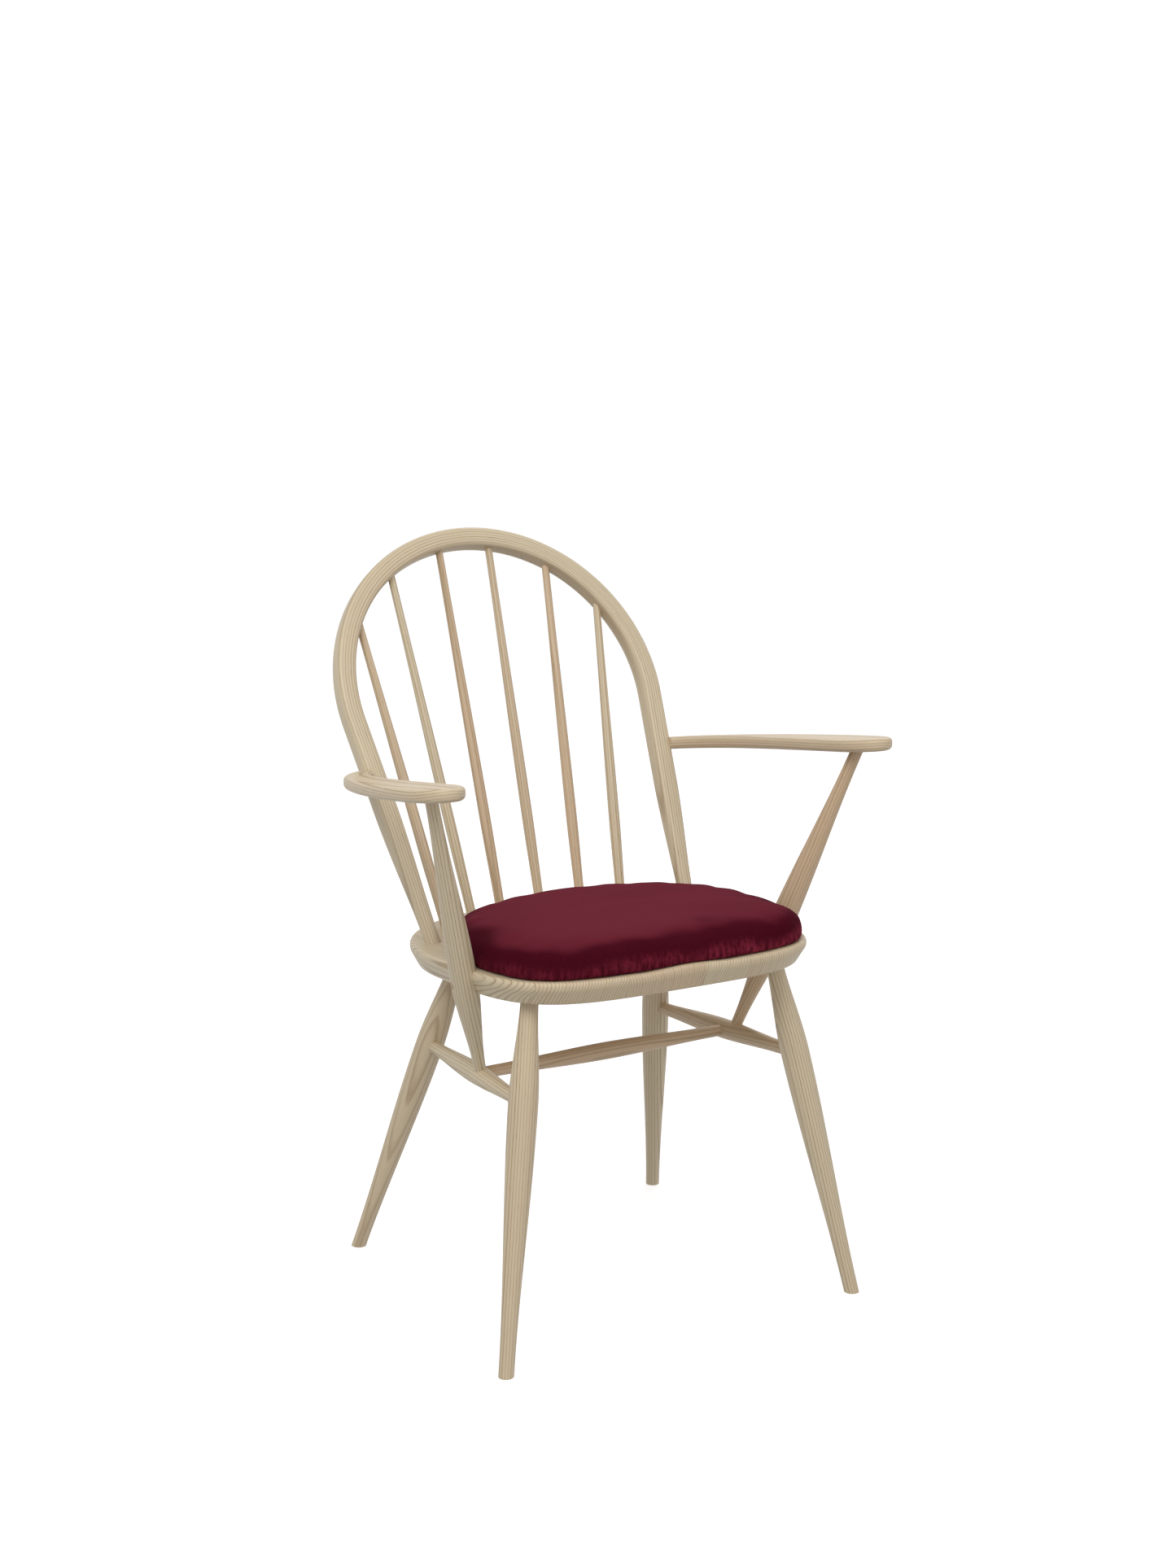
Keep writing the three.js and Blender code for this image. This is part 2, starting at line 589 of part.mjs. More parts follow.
// The cushion's solid, moved inwards everywhere by an inset, standing on the seat at a lift.
function cushionSolid(inset, lift) {
  const height = CUSHION_EDGE_HEIGHT - inset;
  const crown = height + CUSHION_CROWN;
  const below = -15;
  // [inset, height over the seat's plane] from the underside, up the side and over the top
  const sections = [
    [12, below], [4, 0], [0, 13], [0, height - 14], [4, height - 4],
    [12, height + 1], [40, height + 5], [110, crown - 1],
  ];
  const rings = sections.map(([edge, over]) => outlineRing(
    CUSHION_OUTLINE, edge + inset, CUSHION_FACETS, (x, y) => seatPlane(y) + over));
  const plane = seatPlane(CUSHION_WIDEST_Y);
  const solid = skin(rings, vec(0, CUSHION_WIDEST_Y, plane + below),
    vec(0, CUSHION_WIDEST_Y, plane + crown));
  return solid.intersect(aboveSeat(lift));
}

// An upright prism of the cushion's outline.
function cushionColumn(inset, low, high) {
  const ring = (z) => outlineRing(CUSHION_OUTLINE, inset, CUSHION_FACETS, () => z);
  return skin([ring(low), ring(high)], vec(0, CUSHION_WIDEST_Y, low), vec(0, CUSHION_WIDEST_Y, high));
}

// ---- Assembly -----------------------------------------------------------------------------

const ash = { color: 0xcbbd9e, roughness: 0.5, metalness: 0 };
const ashDark = { color: 0xc2b291, roughness: 0.55, metalness: 0 };
const velvet = { color: 0x6b1f33, roughness: 0.9, metalness: 0 };
const foam = { color: 0xe6dcb8, roughness: 0.95, metalness: 0 };
const cloth = { color: 0x2b2527, roughness: 0.95, metalness: 0 };

const frame = new THREE.Group();
const cushion = new THREE.Group();

function add(group, name, manifold, finish) {
  const mesh = new THREE.Mesh(geometryOf(manifold), new THREE.MeshStandardMaterial(finish));
  mesh.name = name;
  group.add(mesh);
}

const sides = [['left', false], ['right', true]];
const onSide = (manifold, mirrored) => (mirrored ? manifold.mirror([1, 0, 0]) : manifold);
const bothSides = (manifold) => [manifold, manifold.mirror([1, 0, 0])];
const cutAll = (manifold, tools) => tools.reduce((left, tool) => left.subtract(tool), manifold);

const above = aboveSeat();
const below = belowSeat();
const legPlaces = [
  ['front', LEG_FRONT, STRETCHER_FRONT_HEIGHT],
  ['rear', LEG_REAR, STRETCHER_REAR_HEIGHT],
];

// Legs with their wedges. Each is made once, on the +X side, and mirrored.
const legHoles = [];
const floorCut = framedBox(vec(0, 0, -50), vec(1, 0, 0), vec(0, 0, 1), vec(2000, 2000, 100));
for (const [end, place, stretcherHeight] of legPlaces) {
  const { foot, seat, length } = legAxis(place);
  const axis = seat.clone().sub(foot).normalize();
  const past = SEAT_THICKNESS + 20;
  const whole = turned(foot, seat, legStops(place, stretcherHeight, past), LEG_FACETS);
  const top = legTop(place);
  const kerf = tenonWedge(top, axis, LEG_TENON_RADIUS, GAP);
  const leg = cutAll(whole, [floorCut, above, kerf, sideStretcher(GAP)]);
  const wedge = tenonWedge(top, axis, LEG_TENON_RADIUS).subtract(above);
  const holeStops = [[length - 12, LEG_TENON_RADIUS], [length + past, LEG_TENON_RADIUS]];
  legHoles.push(turned(foot, seat, holeStops, LEG_FACETS, GAP));
  for (const [name, mirrored] of sides) {
    add(frame, `leg_${end}_${name}`, onSide(leg, mirrored), ash);
    add(frame, `leg_wedge_${end}_${name}`, onSide(wedge, mirrored), ashDark);
  }
}

// Stretchers.
const side = cutAll(sideStretcher(), [crossStretcher(GAP), stumpSolid(GAP)]);
for (const [name, mirrored] of sides) {
  add(frame, `stretcher_side_${name}`, onSide(side, mirrored), ash);
}
add(frame, 'stretcher_cross', crossStretcher(), ash);

// Stumps, arms and their hidden dowels.
const stump = stumpSolid().subtract(stumpDowel(GAP));
const arm = cutAll(armSolid(), [stumpSolid(GAP), armDowel(GAP)]);
for (const [name, mirrored] of sides) {
  add(frame, `arm_stump_${name}`, onSide(stump, mirrored), ash);
  add(frame, `stump_dowel_${name}`, onSide(stumpDowel(), mirrored), ashDark);
  add(frame, `arm_${name}`, onSide(arm, mirrored), ash);
  add(frame, `arm_dowel_${name}`, onSide(armDowel(), mirrored), ashDark);
}

// Hoop, its two foot wedges driven from below, and the spindles.
const hoopFootTip = (() => {
  const at = hoopLegAt(0);
  const top = onHoopPlane(at.u, at.v);
  const axis = vec(hoopLegAxis.u, 0, 0).addScaledVector(hoopUp, hoopLegAxis.v);
  const fall = SEAT_THICKNESS / (axis.z + SEAT_SLOPE * axis.y);
  return { point: top.addScaledVector(axis, -fall), axis: axis.negate() };
})();
const hoopWedge = tenonWedge(hoopFootTip.point, hoopFootTip.axis, HOOP_TENON_RADIUS).subtract(below);
const hoopKerf = tenonWedge(hoopFootTip.point, hoopFootTip.axis, HOOP_TENON_RADIUS, GAP);
const hoopCuts = [...bothSides(hoopKerf), ...bothSides(armSolid(GAP)), ...bothSides(armDowel(GAP))];
for (const place of SPINDLES) hoopCuts.push(...bothSides(spindleSolid(place, GAP)));
add(frame, 'hoop', cutAll(hoopSolid(), [below, ...hoopCuts]), ash);
for (const [name, mirrored] of sides) {
  add(frame, `hoop_wedge_${name}`, onSide(hoopWedge, mirrored), ashDark);
}
const rowOfSpindles = [
  ...[...SPINDLES].reverse().map((place) => [place, true]), ...SPINDLES.map((place) => [place, false]),
];
rowOfSpindles.forEach(([place, mirrored], i) => {
  add(frame, `spindle_${i + 1}`, onSide(spindleSolid(place), mirrored), ash);
});

// Seat boards: one blank, cut for every piece that enters it, then sawn at the seams.
const hoopFootHole = (() => {
  const foot = hoopLegAt(-HOOP_TENON);
  const top = hoopLegAt(30);
  return bar(onHoopPlane(foot.u, foot.v), onHoopPlane(top.u, top.v), HOOP_TENON_RADIUS + GAP, 20);
})();
const seatCuts = [...legHoles, hoopFootHole, stumpSolid(GAP), stumpDowel(GAP)].flatMap(bothSides);
for (const place of SPINDLES) seatCuts.push(...bothSides(spindleSolid(place, GAP)));
const blank = cutAll(seatBlank(), seatCuts);
const saw = 1000;
const edges = [-saw, ...BOARD_SEAMS, saw];
for (let i = 0; i + 1 < edges.length; i++) {
  const low = edges[i] + GLUE_LINE;
  const high = edges[i + 1] - GLUE_LINE;
  const slab = framedBox(vec((low + high) / 2, 0, SEAT_HEIGHT), vec(1, 0, 0), vec(0, 0, 1),
    vec(high - low, saw, saw));
  add(frame, `seat_board_${i + 1}`, blank.intersect(slab), ash);
}

// Cushion: a cover open underneath, a foam core, and a cloth that closes the underside.
const dentsGrown = (grow) => bothSides(stumpSolid(STUMP_DENT_CLEARANCE + grow));
const inCover = COVER_THICKNESS + GAP;
const hollow = cutAll(cushionSolid(COVER_THICKNESS, CUSHION_CLEARANCE + COVER_THICKNESS),
  dentsGrown(COVER_THICKNESS));
const mouth = cutAll(cushionColumn(HEM_WIDTH, 0, SEAT_HEIGHT + 2 * POMMEL_RISE),
  dentsGrown(HEM_WIDTH / 2));
const sheet = cushionColumn(HEM_WIDTH + GAP, 0, SEAT_HEIGHT + 20)
  .intersect(aboveSeat(CUSHION_CLEARANCE))
  .subtract(aboveSeat(CUSHION_CLEARANCE + BASE_CLOTH_THICKNESS));
const cover = cutAll(cushionSolid(0, CUSHION_CLEARANCE), [...dentsGrown(0), hollow, mouth]);
const core = cutAll(cushionSolid(inCover, CUSHION_CLEARANCE + inCover), dentsGrown(inCover));
add(cushion, 'cushion_cover', cover, velvet);
add(cushion, 'cushion_foam', core, foam);
add(cushion, 'cushion_base_cloth', cutAll(sheet, dentsGrown(HEM_WIDTH / 2 + GAP)), cloth);

// The origin goes to the middle of the footprint, on the floor.
const group = new THREE.Group();
group.add(frame, cushion);
group.updateMatrixWorld(true);
const middle = new THREE.Box3().setFromObject(group, true).getCenter(vec(0, 0, 0));
group.position.set(0, -middle.y, 0);
group.updateMatrixWorld(true);

export default group;
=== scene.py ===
"""Finished pieces of a Windsor armchair, built round its fixed CAD frame: turned legs,
stretchers, spindles and arm stumps, a bent hoop, flat arms, a saddled seat of glued boards and a
velvet cushion. Metres, +Z up, the sitter faces -Y and has +X on the left-hand side."""

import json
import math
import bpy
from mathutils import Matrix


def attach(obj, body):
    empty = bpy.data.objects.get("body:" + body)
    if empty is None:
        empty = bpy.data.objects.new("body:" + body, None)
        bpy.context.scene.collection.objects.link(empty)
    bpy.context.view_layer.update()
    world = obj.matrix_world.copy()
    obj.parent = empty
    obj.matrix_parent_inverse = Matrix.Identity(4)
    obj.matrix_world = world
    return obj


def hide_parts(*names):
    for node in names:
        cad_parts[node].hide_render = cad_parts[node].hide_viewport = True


bl_info = {
    "name": "Windsor armchair",
    "version": (1, 0, 0),
    "blender": (4, 5, 0),
    "location": "3D View > Sidebar > Armchair",
    "description": "Builds the finished pieces of a hoop-back armchair round its CAD frame",
    "category": "Add Mesh",
}

import bmesh
import bpy
import numpy as np
from bpy.props import FloatProperty, FloatVectorProperty, IntProperty, PointerProperty
from bpy.types import Operator, Panel, PropertyGroup
from mathutils import Matrix, Vector

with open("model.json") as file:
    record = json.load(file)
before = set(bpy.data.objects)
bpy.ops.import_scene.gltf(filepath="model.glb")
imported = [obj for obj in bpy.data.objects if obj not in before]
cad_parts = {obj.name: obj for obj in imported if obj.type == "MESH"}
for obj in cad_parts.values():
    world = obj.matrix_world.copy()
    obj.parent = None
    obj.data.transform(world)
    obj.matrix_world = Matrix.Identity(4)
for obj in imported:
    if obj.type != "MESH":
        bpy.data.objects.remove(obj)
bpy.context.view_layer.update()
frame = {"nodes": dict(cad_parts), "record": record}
MOUNTS = {m["name"]: Vector(m["pos_m"]) for m in frame["record"]["mounts"]}

# The drawing of the chair measures from the seat's own centre line; this moves it to the frame's
# origin. The front foot is at this place in the drawing.
FRONT_FOOT_Y = -0.2015
SHIFT = Vector((0, MOUNTS["foot_front_left"].y - FRONT_FOOT_Y, 0))

SMOOTH_ANGLE = math.radians(38)
OUTPUT_SOCKET = "Geometry"


def length_property(name, description, default):
    return FloatProperty(name=name, description=description, default=default, unit="LENGTH",
                         subtype="DISTANCE", min=0.0, precision=4)


def place_property(name, description, default):
    """A length that may be negative."""
    return FloatProperty(name=name, description=description, default=default, unit="LENGTH")


def squareness_property(name, default):
    return FloatProperty(name=name, description="2 is round, and more is squarer",
                         default=default)


def colour_property(name, description, default):
    return FloatVectorProperty(name=name, description=description, default=default,
                               subtype="COLOR", size=3, min=0.0, max=1.0)


# ---- Sizes and finishes -------------------------------------------------------------------------


class SeatSizes(PropertyGroup):
    rim_height: length_property("Rim height", "Top of the front rim above the floor", 0.4405)
    thickness: length_property("Thickness", "Thickness of the plank", 0.028)
    slope: FloatProperty(name="Slope", description="Fall towards the back, per metre",
                         default=0.056)
    half_width: length_property("Half width", "Half of the widest part", 0.215)
    widest_y: place_property("Widest place", "Where the seat is widest", 0.020)
    front_reach: length_property("Front reach", "From the widest line to the front edge", 0.228)
    rear_reach: length_property("Rear reach", "From the widest line to the back edge", 0.200)
    front_squareness: squareness_property("Front squareness", 4.0)
    rear_squareness: squareness_property("Rear squareness", 2.15)
    undercut: length_property("Undercut", "How far the underside stands in from the rim", 0.010)
    saddle_depth: length_property("Saddle depth", "Depth of the hollow", 0.009)
    saddle_border: length_property("Saddle border", "Flat rim outside the hollow", 0.026)
    saddle_back_y: length_property("Saddle back", "Where the hollow ends at the back", 0.128)
    pommel_rise: length_property("Pommel rise", "Swell of the front rim at the middle", 0.0025)
    pommel_half_width: length_property("Pommel half width", "Half width of that swell", 0.060)
    pommel_length: length_property("Pommel length", "How far back the swell runs", 0.150)


class TurningSizes(PropertyGroup):
    foot_radius: length_property("Leg foot radius", "Radius of a leg at the floor", 0.0088)
    belly_radius: length_property("Leg belly radius", "Radius at the stretcher", 0.017)
    tenon_radius: length_property("Leg tenon radius", "Radius in the seat", 0.0102)
    front_height: length_property("Front joint height", "Side stretcher at the front leg", 0.2945)
    rear_height: length_property("Rear joint height", "Side stretcher at the rear leg", 0.2817)
    stretcher_end: length_property("Stretcher end radius", "Radius in the leg", 0.0077)
    stretcher_belly: length_property("Stretcher belly radius", "Radius at the middle", 0.0122)
    cross_y: place_property("Cross stretcher place",
                            "Where the cross stretcher meets the side ones", -0.016)
    cross_end: length_property("Cross end radius", "Radius in the side stretcher", 0.007)
    cross_belly: length_property("Cross belly radius", "Radius at the middle", 0.0105)
    rings: IntProperty(name="Rings", description="Rings along a turned piece", default=90, min=8)
    facets: IntProperty(name="Facets", description="Facets round a turned piece", default=40,
                        min=8)


class HoopSizes(PropertyGroup):
    foot_spread: length_property("Foot spread", "Half the distance between the feet", 0.178)
    foot_y: length_property("Foot place", "Where the feet stand on the seat", 0.0835)
    rise: length_property("Rise", "Seat to crown along the leaning plane", 0.514)
    top_radius: length_property("Top radius", "Radius of the round top", 0.2095)
    lean: FloatProperty(name="Lean", description="Angle from upright", subtype="ANGLE",
                        default=math.radians(30.6))
    half_width: length_property("Half width", "Across the section, in the plane", 0.0124)
    half_depth: length_property("Half depth", "Across the section, square to the plane", 0.0128)
    squareness: squareness_property("Squareness", 4.4)
    tenon_radius: length_property("Tenon radius", "Radius in the seat", 0.0092)
    taper: length_property("Taper", "From the seat up to the full section", 0.170)


class SpindleSizes(PropertyGroup):
    foot_radius: length_property("Foot radius", "Radius at the seat", 0.0059)
    belly_radius: length_property("Belly radius", "Radius at the swell", 0.0069)
    top_radius: length_property("Top radius", "Radius at the hoop", 0.0046)
    belly_at: FloatProperty(name="Belly place", description="Share of the length", default=0.24,
                            min=0.0, max=1.0)
    seat_tenon: length_property("Seat tenon", "Depth in the seat", 0.017)
    hoop_tenon: length_property("Hoop tenon", "Depth in the hoop", 0.011)


class ArmSizes(PropertyGroup):
    stump_x: length_property("Stump spread", "Sideways place of the stump's top", 0.2813)
    stump_y: place_property("Stump place", "Fore and aft place of its top", -0.126)
    stump_foot_y: place_property("Stump foot place",
                                 "Where the stump stands on the side stretcher", -0.030)
    stump_seat_y: place_property("Stump at the seat",
                                 "Where the stump passes the seat's edge", -0.066)
    front_height: length_property("Front height", "Top of the arm over the stump", 0.661)
    rear_height: length_property("Rear height", "Top of the arm at the hoop", 0.6155)
    thickness: length_property("Thickness", "Thickness of the arm", 0.015)
    edge: length_property("Edge", "Rounding of the arm's edges", 0.0055)
    rear_half: length_property("Rear half width", "Half width at the hoop", 0.0125)
    waist_half: length_property("Waist half width", "Half width at the waist", 0.017)
    tip_half: length_property("Tip half width", "Half width over the stump", 0.0305)
    tip_length: length_property("Tip length", "From the stump to the tip", 0.055)
    sweep_out: length_property("Sweep out", "How strongly the arm sets off sideways", 0.052)
    sweep_in: length_property("Sweep in", "How strongly it runs straight in front", 0.170)
    housing: length_property("Housing", "Depth of its end in the hoop", 0.004)
    stump_foot: length_property("Stump foot radius", "Radius at the stretcher", 0.007)
    stump_belly: length_property("Stump belly radius", "Radius at the seat", 0.0156)
    stump_top: length_property("Stump top radius", "Radius at the arm", 0.0073)


class CushionSizes(PropertyGroup):
    half_width: length_property("Half width", "Half of the widest part", 0.203)
    widest_y: place_property("Widest place", "Where the cushion is widest", -0.040)
    front_reach: length_property("Front reach", "From the widest line to the front", 0.166)
    rear_reach: length_property("Rear reach", "From the widest line to the back", 0.174)
    front_squareness: squareness_property("Front squareness", 3.9)
    rear_squareness: squareness_property("Rear squareness", 2.05)
    edge_height: length_property("Edge height", "Seat to the start of the top's roll", 0.0357)
    crown: length_property("Crown", "Further rise at the middle", 0.0035)
    swell: length_property("Swell", "How much smaller the slack form starts", 0.0012)
    voxel: length_property("Voxel", "Grain of the slack form's mesh", 0.005)
    pressure: FloatProperty(name="Pressure", description="Push of the filling", default=4.0)
    reach_cap: length_property("Reach cap", "How far the filling may move a point", 0.0050)
    hem: length_property("Hem", "Width of the hem under the cushion", 0.016)


class Finishes(PropertyGroup):
    ash_pale: colour_property("Pale ash", "Wood between the growth rings", (0.70, 0.605, 0.43))
    ash_ring: colour_property("Ring ash", "Wood in the growth rings", (0.40, 0.285, 0.16))
    ash_warm: colour_property("Warm ash", "Warm patches", (0.64, 0.46, 0.30))
    velvet_mid: colour_property("Velvet", "Velvet on the top", (0.150, 0.017, 0.031))
    # painted shade: the velvet darkened up the sides and over the roll
    velvet_painted_shade: colour_property("Velvet shade", "Velvet brushed down", (0.060, 0.003, 0.010))
    # painted light: the velvet lightened in a band low on the sides
    velvet_painted_light: colour_property("Velvet light", "Velvet brushed up", (0.265, 0.026, 0.052))
    lining: colour_property("Lining", "Cloth under the cushion", (0.022, 0.017, 0.019))


class StageSizes(PropertyGroup):
    floor_radius: length_property("Floor radius", "Radius of the studio floor", 30.0)
    camera_lens: FloatProperty(name="Lens", description="Focal length in millimetres",
                               default=57.74)
    camera_place: FloatVectorProperty(name="Camera place", description="In the drawing's frame",
                                      default=(-1.4567, -2.4986, 1.2194), subtype="XYZ",
                                      unit="LENGTH")
    camera_tilt: FloatProperty(name="Camera tilt", description="From straight down",
                               subtype="ANGLE", default=math.radians(78.13))
    camera_turn: FloatProperty(name="Camera turn", description="Round the vertical",
                               subtype="ANGLE", default=math.radians(-30.0))


class ArmchairSettings(PropertyGroup):
    seat: PointerProperty(type=SeatSizes)
    turning: PointerProperty(type=TurningSizes)
    hoop: PointerProperty(type=HoopSizes)
    spindle: PointerProperty(type=SpindleSizes)
    arm: PointerProperty(type=ArmSizes)
    cushion: PointerProperty(type=CushionSizes)
    finish: PointerProperty(type=Finishes)
    stage: PointerProperty(type=StageSizes)


def settings():
    return bpy.context.scene.armchair


# Feet on the floor and places on the seat's underside, in the drawing, on the +X side.
LEG_PLACES = {
    "front": {"foot": (0.2355, -0.2015), "seat": (0.1635, -0.1287)},
    "rear": {"foot": (0.2166, 0.2265), "seat": (0.138, 0.0918)},
}
# Spindles from the middle outwards: place on the seat, and the top's place across the hoop.
SPINDLE_PLACES = [
    {"seat": (0.028, 0.194), "top": 0.0354},
    {"seat": (0.077, 0.177), "top": 0.1106},
    {"seat": (0.1245, 0.1565), "top": 0.1705},
]
BOARD_SEAMS = [-0.180, -0.080, 0.020, 0.080, 0.182]
GLUE_LINE = 0.0001

# ---- Shapes of the drawing ----------------------------------------------------------------------


def smooth(t):
    t = np.clip(t, 0.0, 1.0)
    return t * t * (3 - 2 * t)


def lerp(a, b, t):
    return a + (b - a) * t


def at_height(a, b, z):
    return a.lerp(b, (z - a.z) / (b.z - a.z))


def mirrored(p):
    return Vector((-p.x, p.y, p.z))


def outline(sizes, angles, inset=0.0):
    """An egg-shaped outline, moved inwards by an inset, as x and y arrays."""
    c, s = np.cos(angles), np.sin(angles)
    width = sizes.half_width - inset
    reach = np.where(s < 0, sizes.front_reach, sizes.rear_reach) - inset
    power = np.where(s < 0, sizes.front_squareness, sizes.rear_squareness)
    radius = (np.abs(c / width) ** power + np.abs(s / reach) ** power) ** (-1 / power)
    return radius * c, sizes.widest_y + radius * s


def seat_plane(y):
    seat = settings().seat
    return seat.rim_height - seat.slope * (y - seat.widest_y + seat.front_reach)


def seat_underside(y):
    return seat_plane(y) - settings().seat.thickness


def seat_surface(x, y):
    """Height of the finished seat: the plane, less the saddle, plus the pommel."""
    seat = settings().seat
    front = seat.widest_y - seat.front_reach
    middle = (seat.saddle_back_y + front + seat.saddle_border) / 2
    share = np.hypot(x / (seat.half_width - seat.saddle_border),
                     (y - middle) / (seat.saddle_back_y - middle))
    saddle = seat.saddle_depth * (1 - smooth((share - 0.25) / 0.75))
    across = 1 - smooth(np.abs(x) / seat.pommel_half_width)
    back = 1 - smooth((y - front) / seat.pommel_length)
    return seat_plane(y) - saddle + seat.pommel_rise * across * back


def leg_ends(place):
    foot = Vector((*place["foot"], 0.0))
    seat = Vector((*place["seat"], seat_underside(place["seat"][1])))
    return foot, seat


def stretcher_joints():
    turning = settings().turning
    heights = {"front": turning.front_height, "rear": turning.rear_height}
    return {end: at_height(*leg_ends(LEG_PLACES[end]), z) for end, z in heights.items()}


def on_side_stretcher(y):
    joints = stretcher_joints()
    share = (y - joints["front"].y) / (joints["rear"].y - joints["front"].y)
    return joints["front"].lerp(joints["rear"], share)


class HoopPlane:
    """The leaning plane of the hoop, and the places along its centre line."""

    def __init__(self):
        hoop = settings().hoop
        self.sizes = hoop
        self.up = Vector((0, math.sin(hoop.lean), math.cos(hoop.lean)))
        self.back = Vector((0, math.cos(hoop.lean), -math.sin(hoop.lean)))
        self.origin = Vector((0, hoop.foot_y, seat_plane(hoop.foot_y)))
        self.centre = hoop.rise - hoop.top_radius
        reach = math.hypot(hoop.foot_spread, self.centre)
        self.tangent = (math.acos(hoop.top_radius / reach)
                        - math.atan2(self.centre, hoop.foot_spread))
        self.leg_length = math.sqrt(reach ** 2 - hoop.top_radius ** 2)

    def point(self, u, v):
        return self.origin + self.up * v + Vector((u, 0, 0))

    def leg(self, distance):
        """(u, v, outward u, outward v) up the +X leg."""
        t = self.tangent
        return (self.sizes.foot_spread - math.sin(t) * distance, math.cos(t) * distance,
                math.cos(t), math.sin(t))

    def top(self, angle):
        c, s, r = math.cos(angle), math.sin(angle), self.sizes.top_radius
        return r * c, self.centre + r * s, c, s


def arm_joint():
    """Where the arm meets the hoop, and the way outwards there."""
    plane, arm = HoopPlane(), settings().arm
    rise = (arm.rear_height - arm.thickness / 2 - plane.origin.z) / plane.up.z
    u, v, out_u, out_v = plane.leg(rise / math.cos(plane.tangent))
    return plane.point(u, v), Vector((out_u, 0, 0)) + plane.up * out_v


def arm_plane(y):
    arm = settings().arm
    joint, _ = arm_joint()
    slope = (arm.rear_height - arm.front_height) / (joint.y - arm.stump_y)
    return arm.front_height + slope * (y - arm.stump_y)


def stump_at_seat():
    """Where the stump's axis passes the middle of the seat's edge."""
    middle = seat_underside(settings().arm.stump_seat_y) + settings().seat.thickness / 2
    return at_height(*stump_ends(), middle)


def stump_ends():
    arm = settings().arm
    foot = on_side_stretcher(arm.stump_foot_y)
    top = Vector((arm.stump_x, arm.stump_y, arm.front_height - arm.thickness))
    return foot, top


# ---- Mesh helpers -------------------------------------------------------------------------------


def skin(rings, first, last):
    """Vertices and faces of a closed skin through rings, with a fan to a point at each end."""
    count = len(rings[0])
    points = np.vstack([[first], *rings, [last]])
    end = len(points) - 1
    faces = []
    for k in range(count):
        after = (k + 1) % count
        faces.append((0, 1 + after, 1 + k))
        for i in range(len(rings) - 1):
            low = 1 + i * count
            faces.append((low + k, low + after, low + count + after, low + count + k))
        faces.append((end, end - count + k, end - count + after))
    return points, faces


def mesh_from(name, points, faces, grain=None):
    mesh = bpy.data.meshes.new(name)
    mesh.from_pydata([tuple(p) for p in points], [], faces)
    if grain is not None:
        layer = mesh.attributes.new("grain", "FLOAT_VECTOR", "POINT")
        layer.data.foreach_set("vector", np.asarray(grain, np.float32).ravel())
    mesh.update()
    return mesh


def outward(mesh):
    """Turns the faces outwards if the shell is inside out."""
    bm = bmesh.new()
    bm.from_mesh(mesh)
    if bm.calc_volume(signed=True) < 0:
        bmesh.ops.reverse_faces(bm, faces=bm.faces)
    bm.to_mesh(mesh)
    bm.free()


def cut(mesh, point, normal):
    """Cuts the shell by a plane, drops the side the normal points to and closes the cut."""
    bm = bmesh.new()
    bm.from_mesh(mesh)
    found = bmesh.ops.bisect_plane(bm, geom=[*bm.verts, *bm.edges, *bm.faces], dist=1e-7,
                                   plane_co=point, plane_no=normal, clear_outer=True)
    rim = [e for e in found["geom_cut"] if isinstance(e, bmesh.types.BMEdge)]
    if rim:
        bmesh.ops.holes_fill(bm, edges=rim, sides=0)
    bm.to_mesh(mesh)
    bm.free()


def finish_mesh(mesh):
    mesh.shade_smooth()
    mesh.set_sharp_from_angle(angle=SMOOTH_ANGLE)


def add_piece(name, mesh, finish, body, nodes=()):
    """A finished object at the origin, riding on its body, in place of its CAD nodes."""
    mesh.name = name
    mesh.materials.clear()
    mesh.materials.append(finish)
    piece = bpy.data.objects.new(name, mesh)
    bpy.context.scene.collection.objects.link(piece)
    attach(piece, body)
    if nodes:
        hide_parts(*nodes)
    return piece


def add_wood(prefix, mesh, node):
    """A finished piece of ash in place of the CAD node it is named after."""
    _, _, tone = CUTTING_LIST[node]
    layer = mesh.attributes.new("tone", "FLOAT", "POINT")
    layer.data.foreach_set("value", np.full(len(mesh.vertices), tone, np.float32))
    finish_mesh(mesh)
    return add_piece(f"{prefix}_{node}", mesh, ash(), "frame", [node])


def shifted(points):
    return np.asarray(points, float) + np.array(SHIFT)


# The growth rings of the ash in metres: from ring to ring, and how far they drift and waver.
RING_SPACING = 0.0034
RING_DRIFT = 0.016
RING_WAVER = 0.0022
PORE_COLOUR = (0.20, 0.13, 0.07)
# The weave of the lining: from thread to thread, and how far it is turned on the cushion (radians).
THREAD_PITCH = 0.0016
THREAD_TURN = 0.6
THREAD_COLOUR = (0.075, 0.062, 0.066)
FLUFF_COLOUR = (0.10, 0.085, 0.09)
# The floor is clouded between two greys, and glows a little so that it stays pale.
FLOOR_GREYS = ((0.60, 0.60, 0.60), (0.64, 0.64, 0.64))
FLOOR_GLOW = 0.66

# ---- Materials ----------------------------------------------------------------------------------


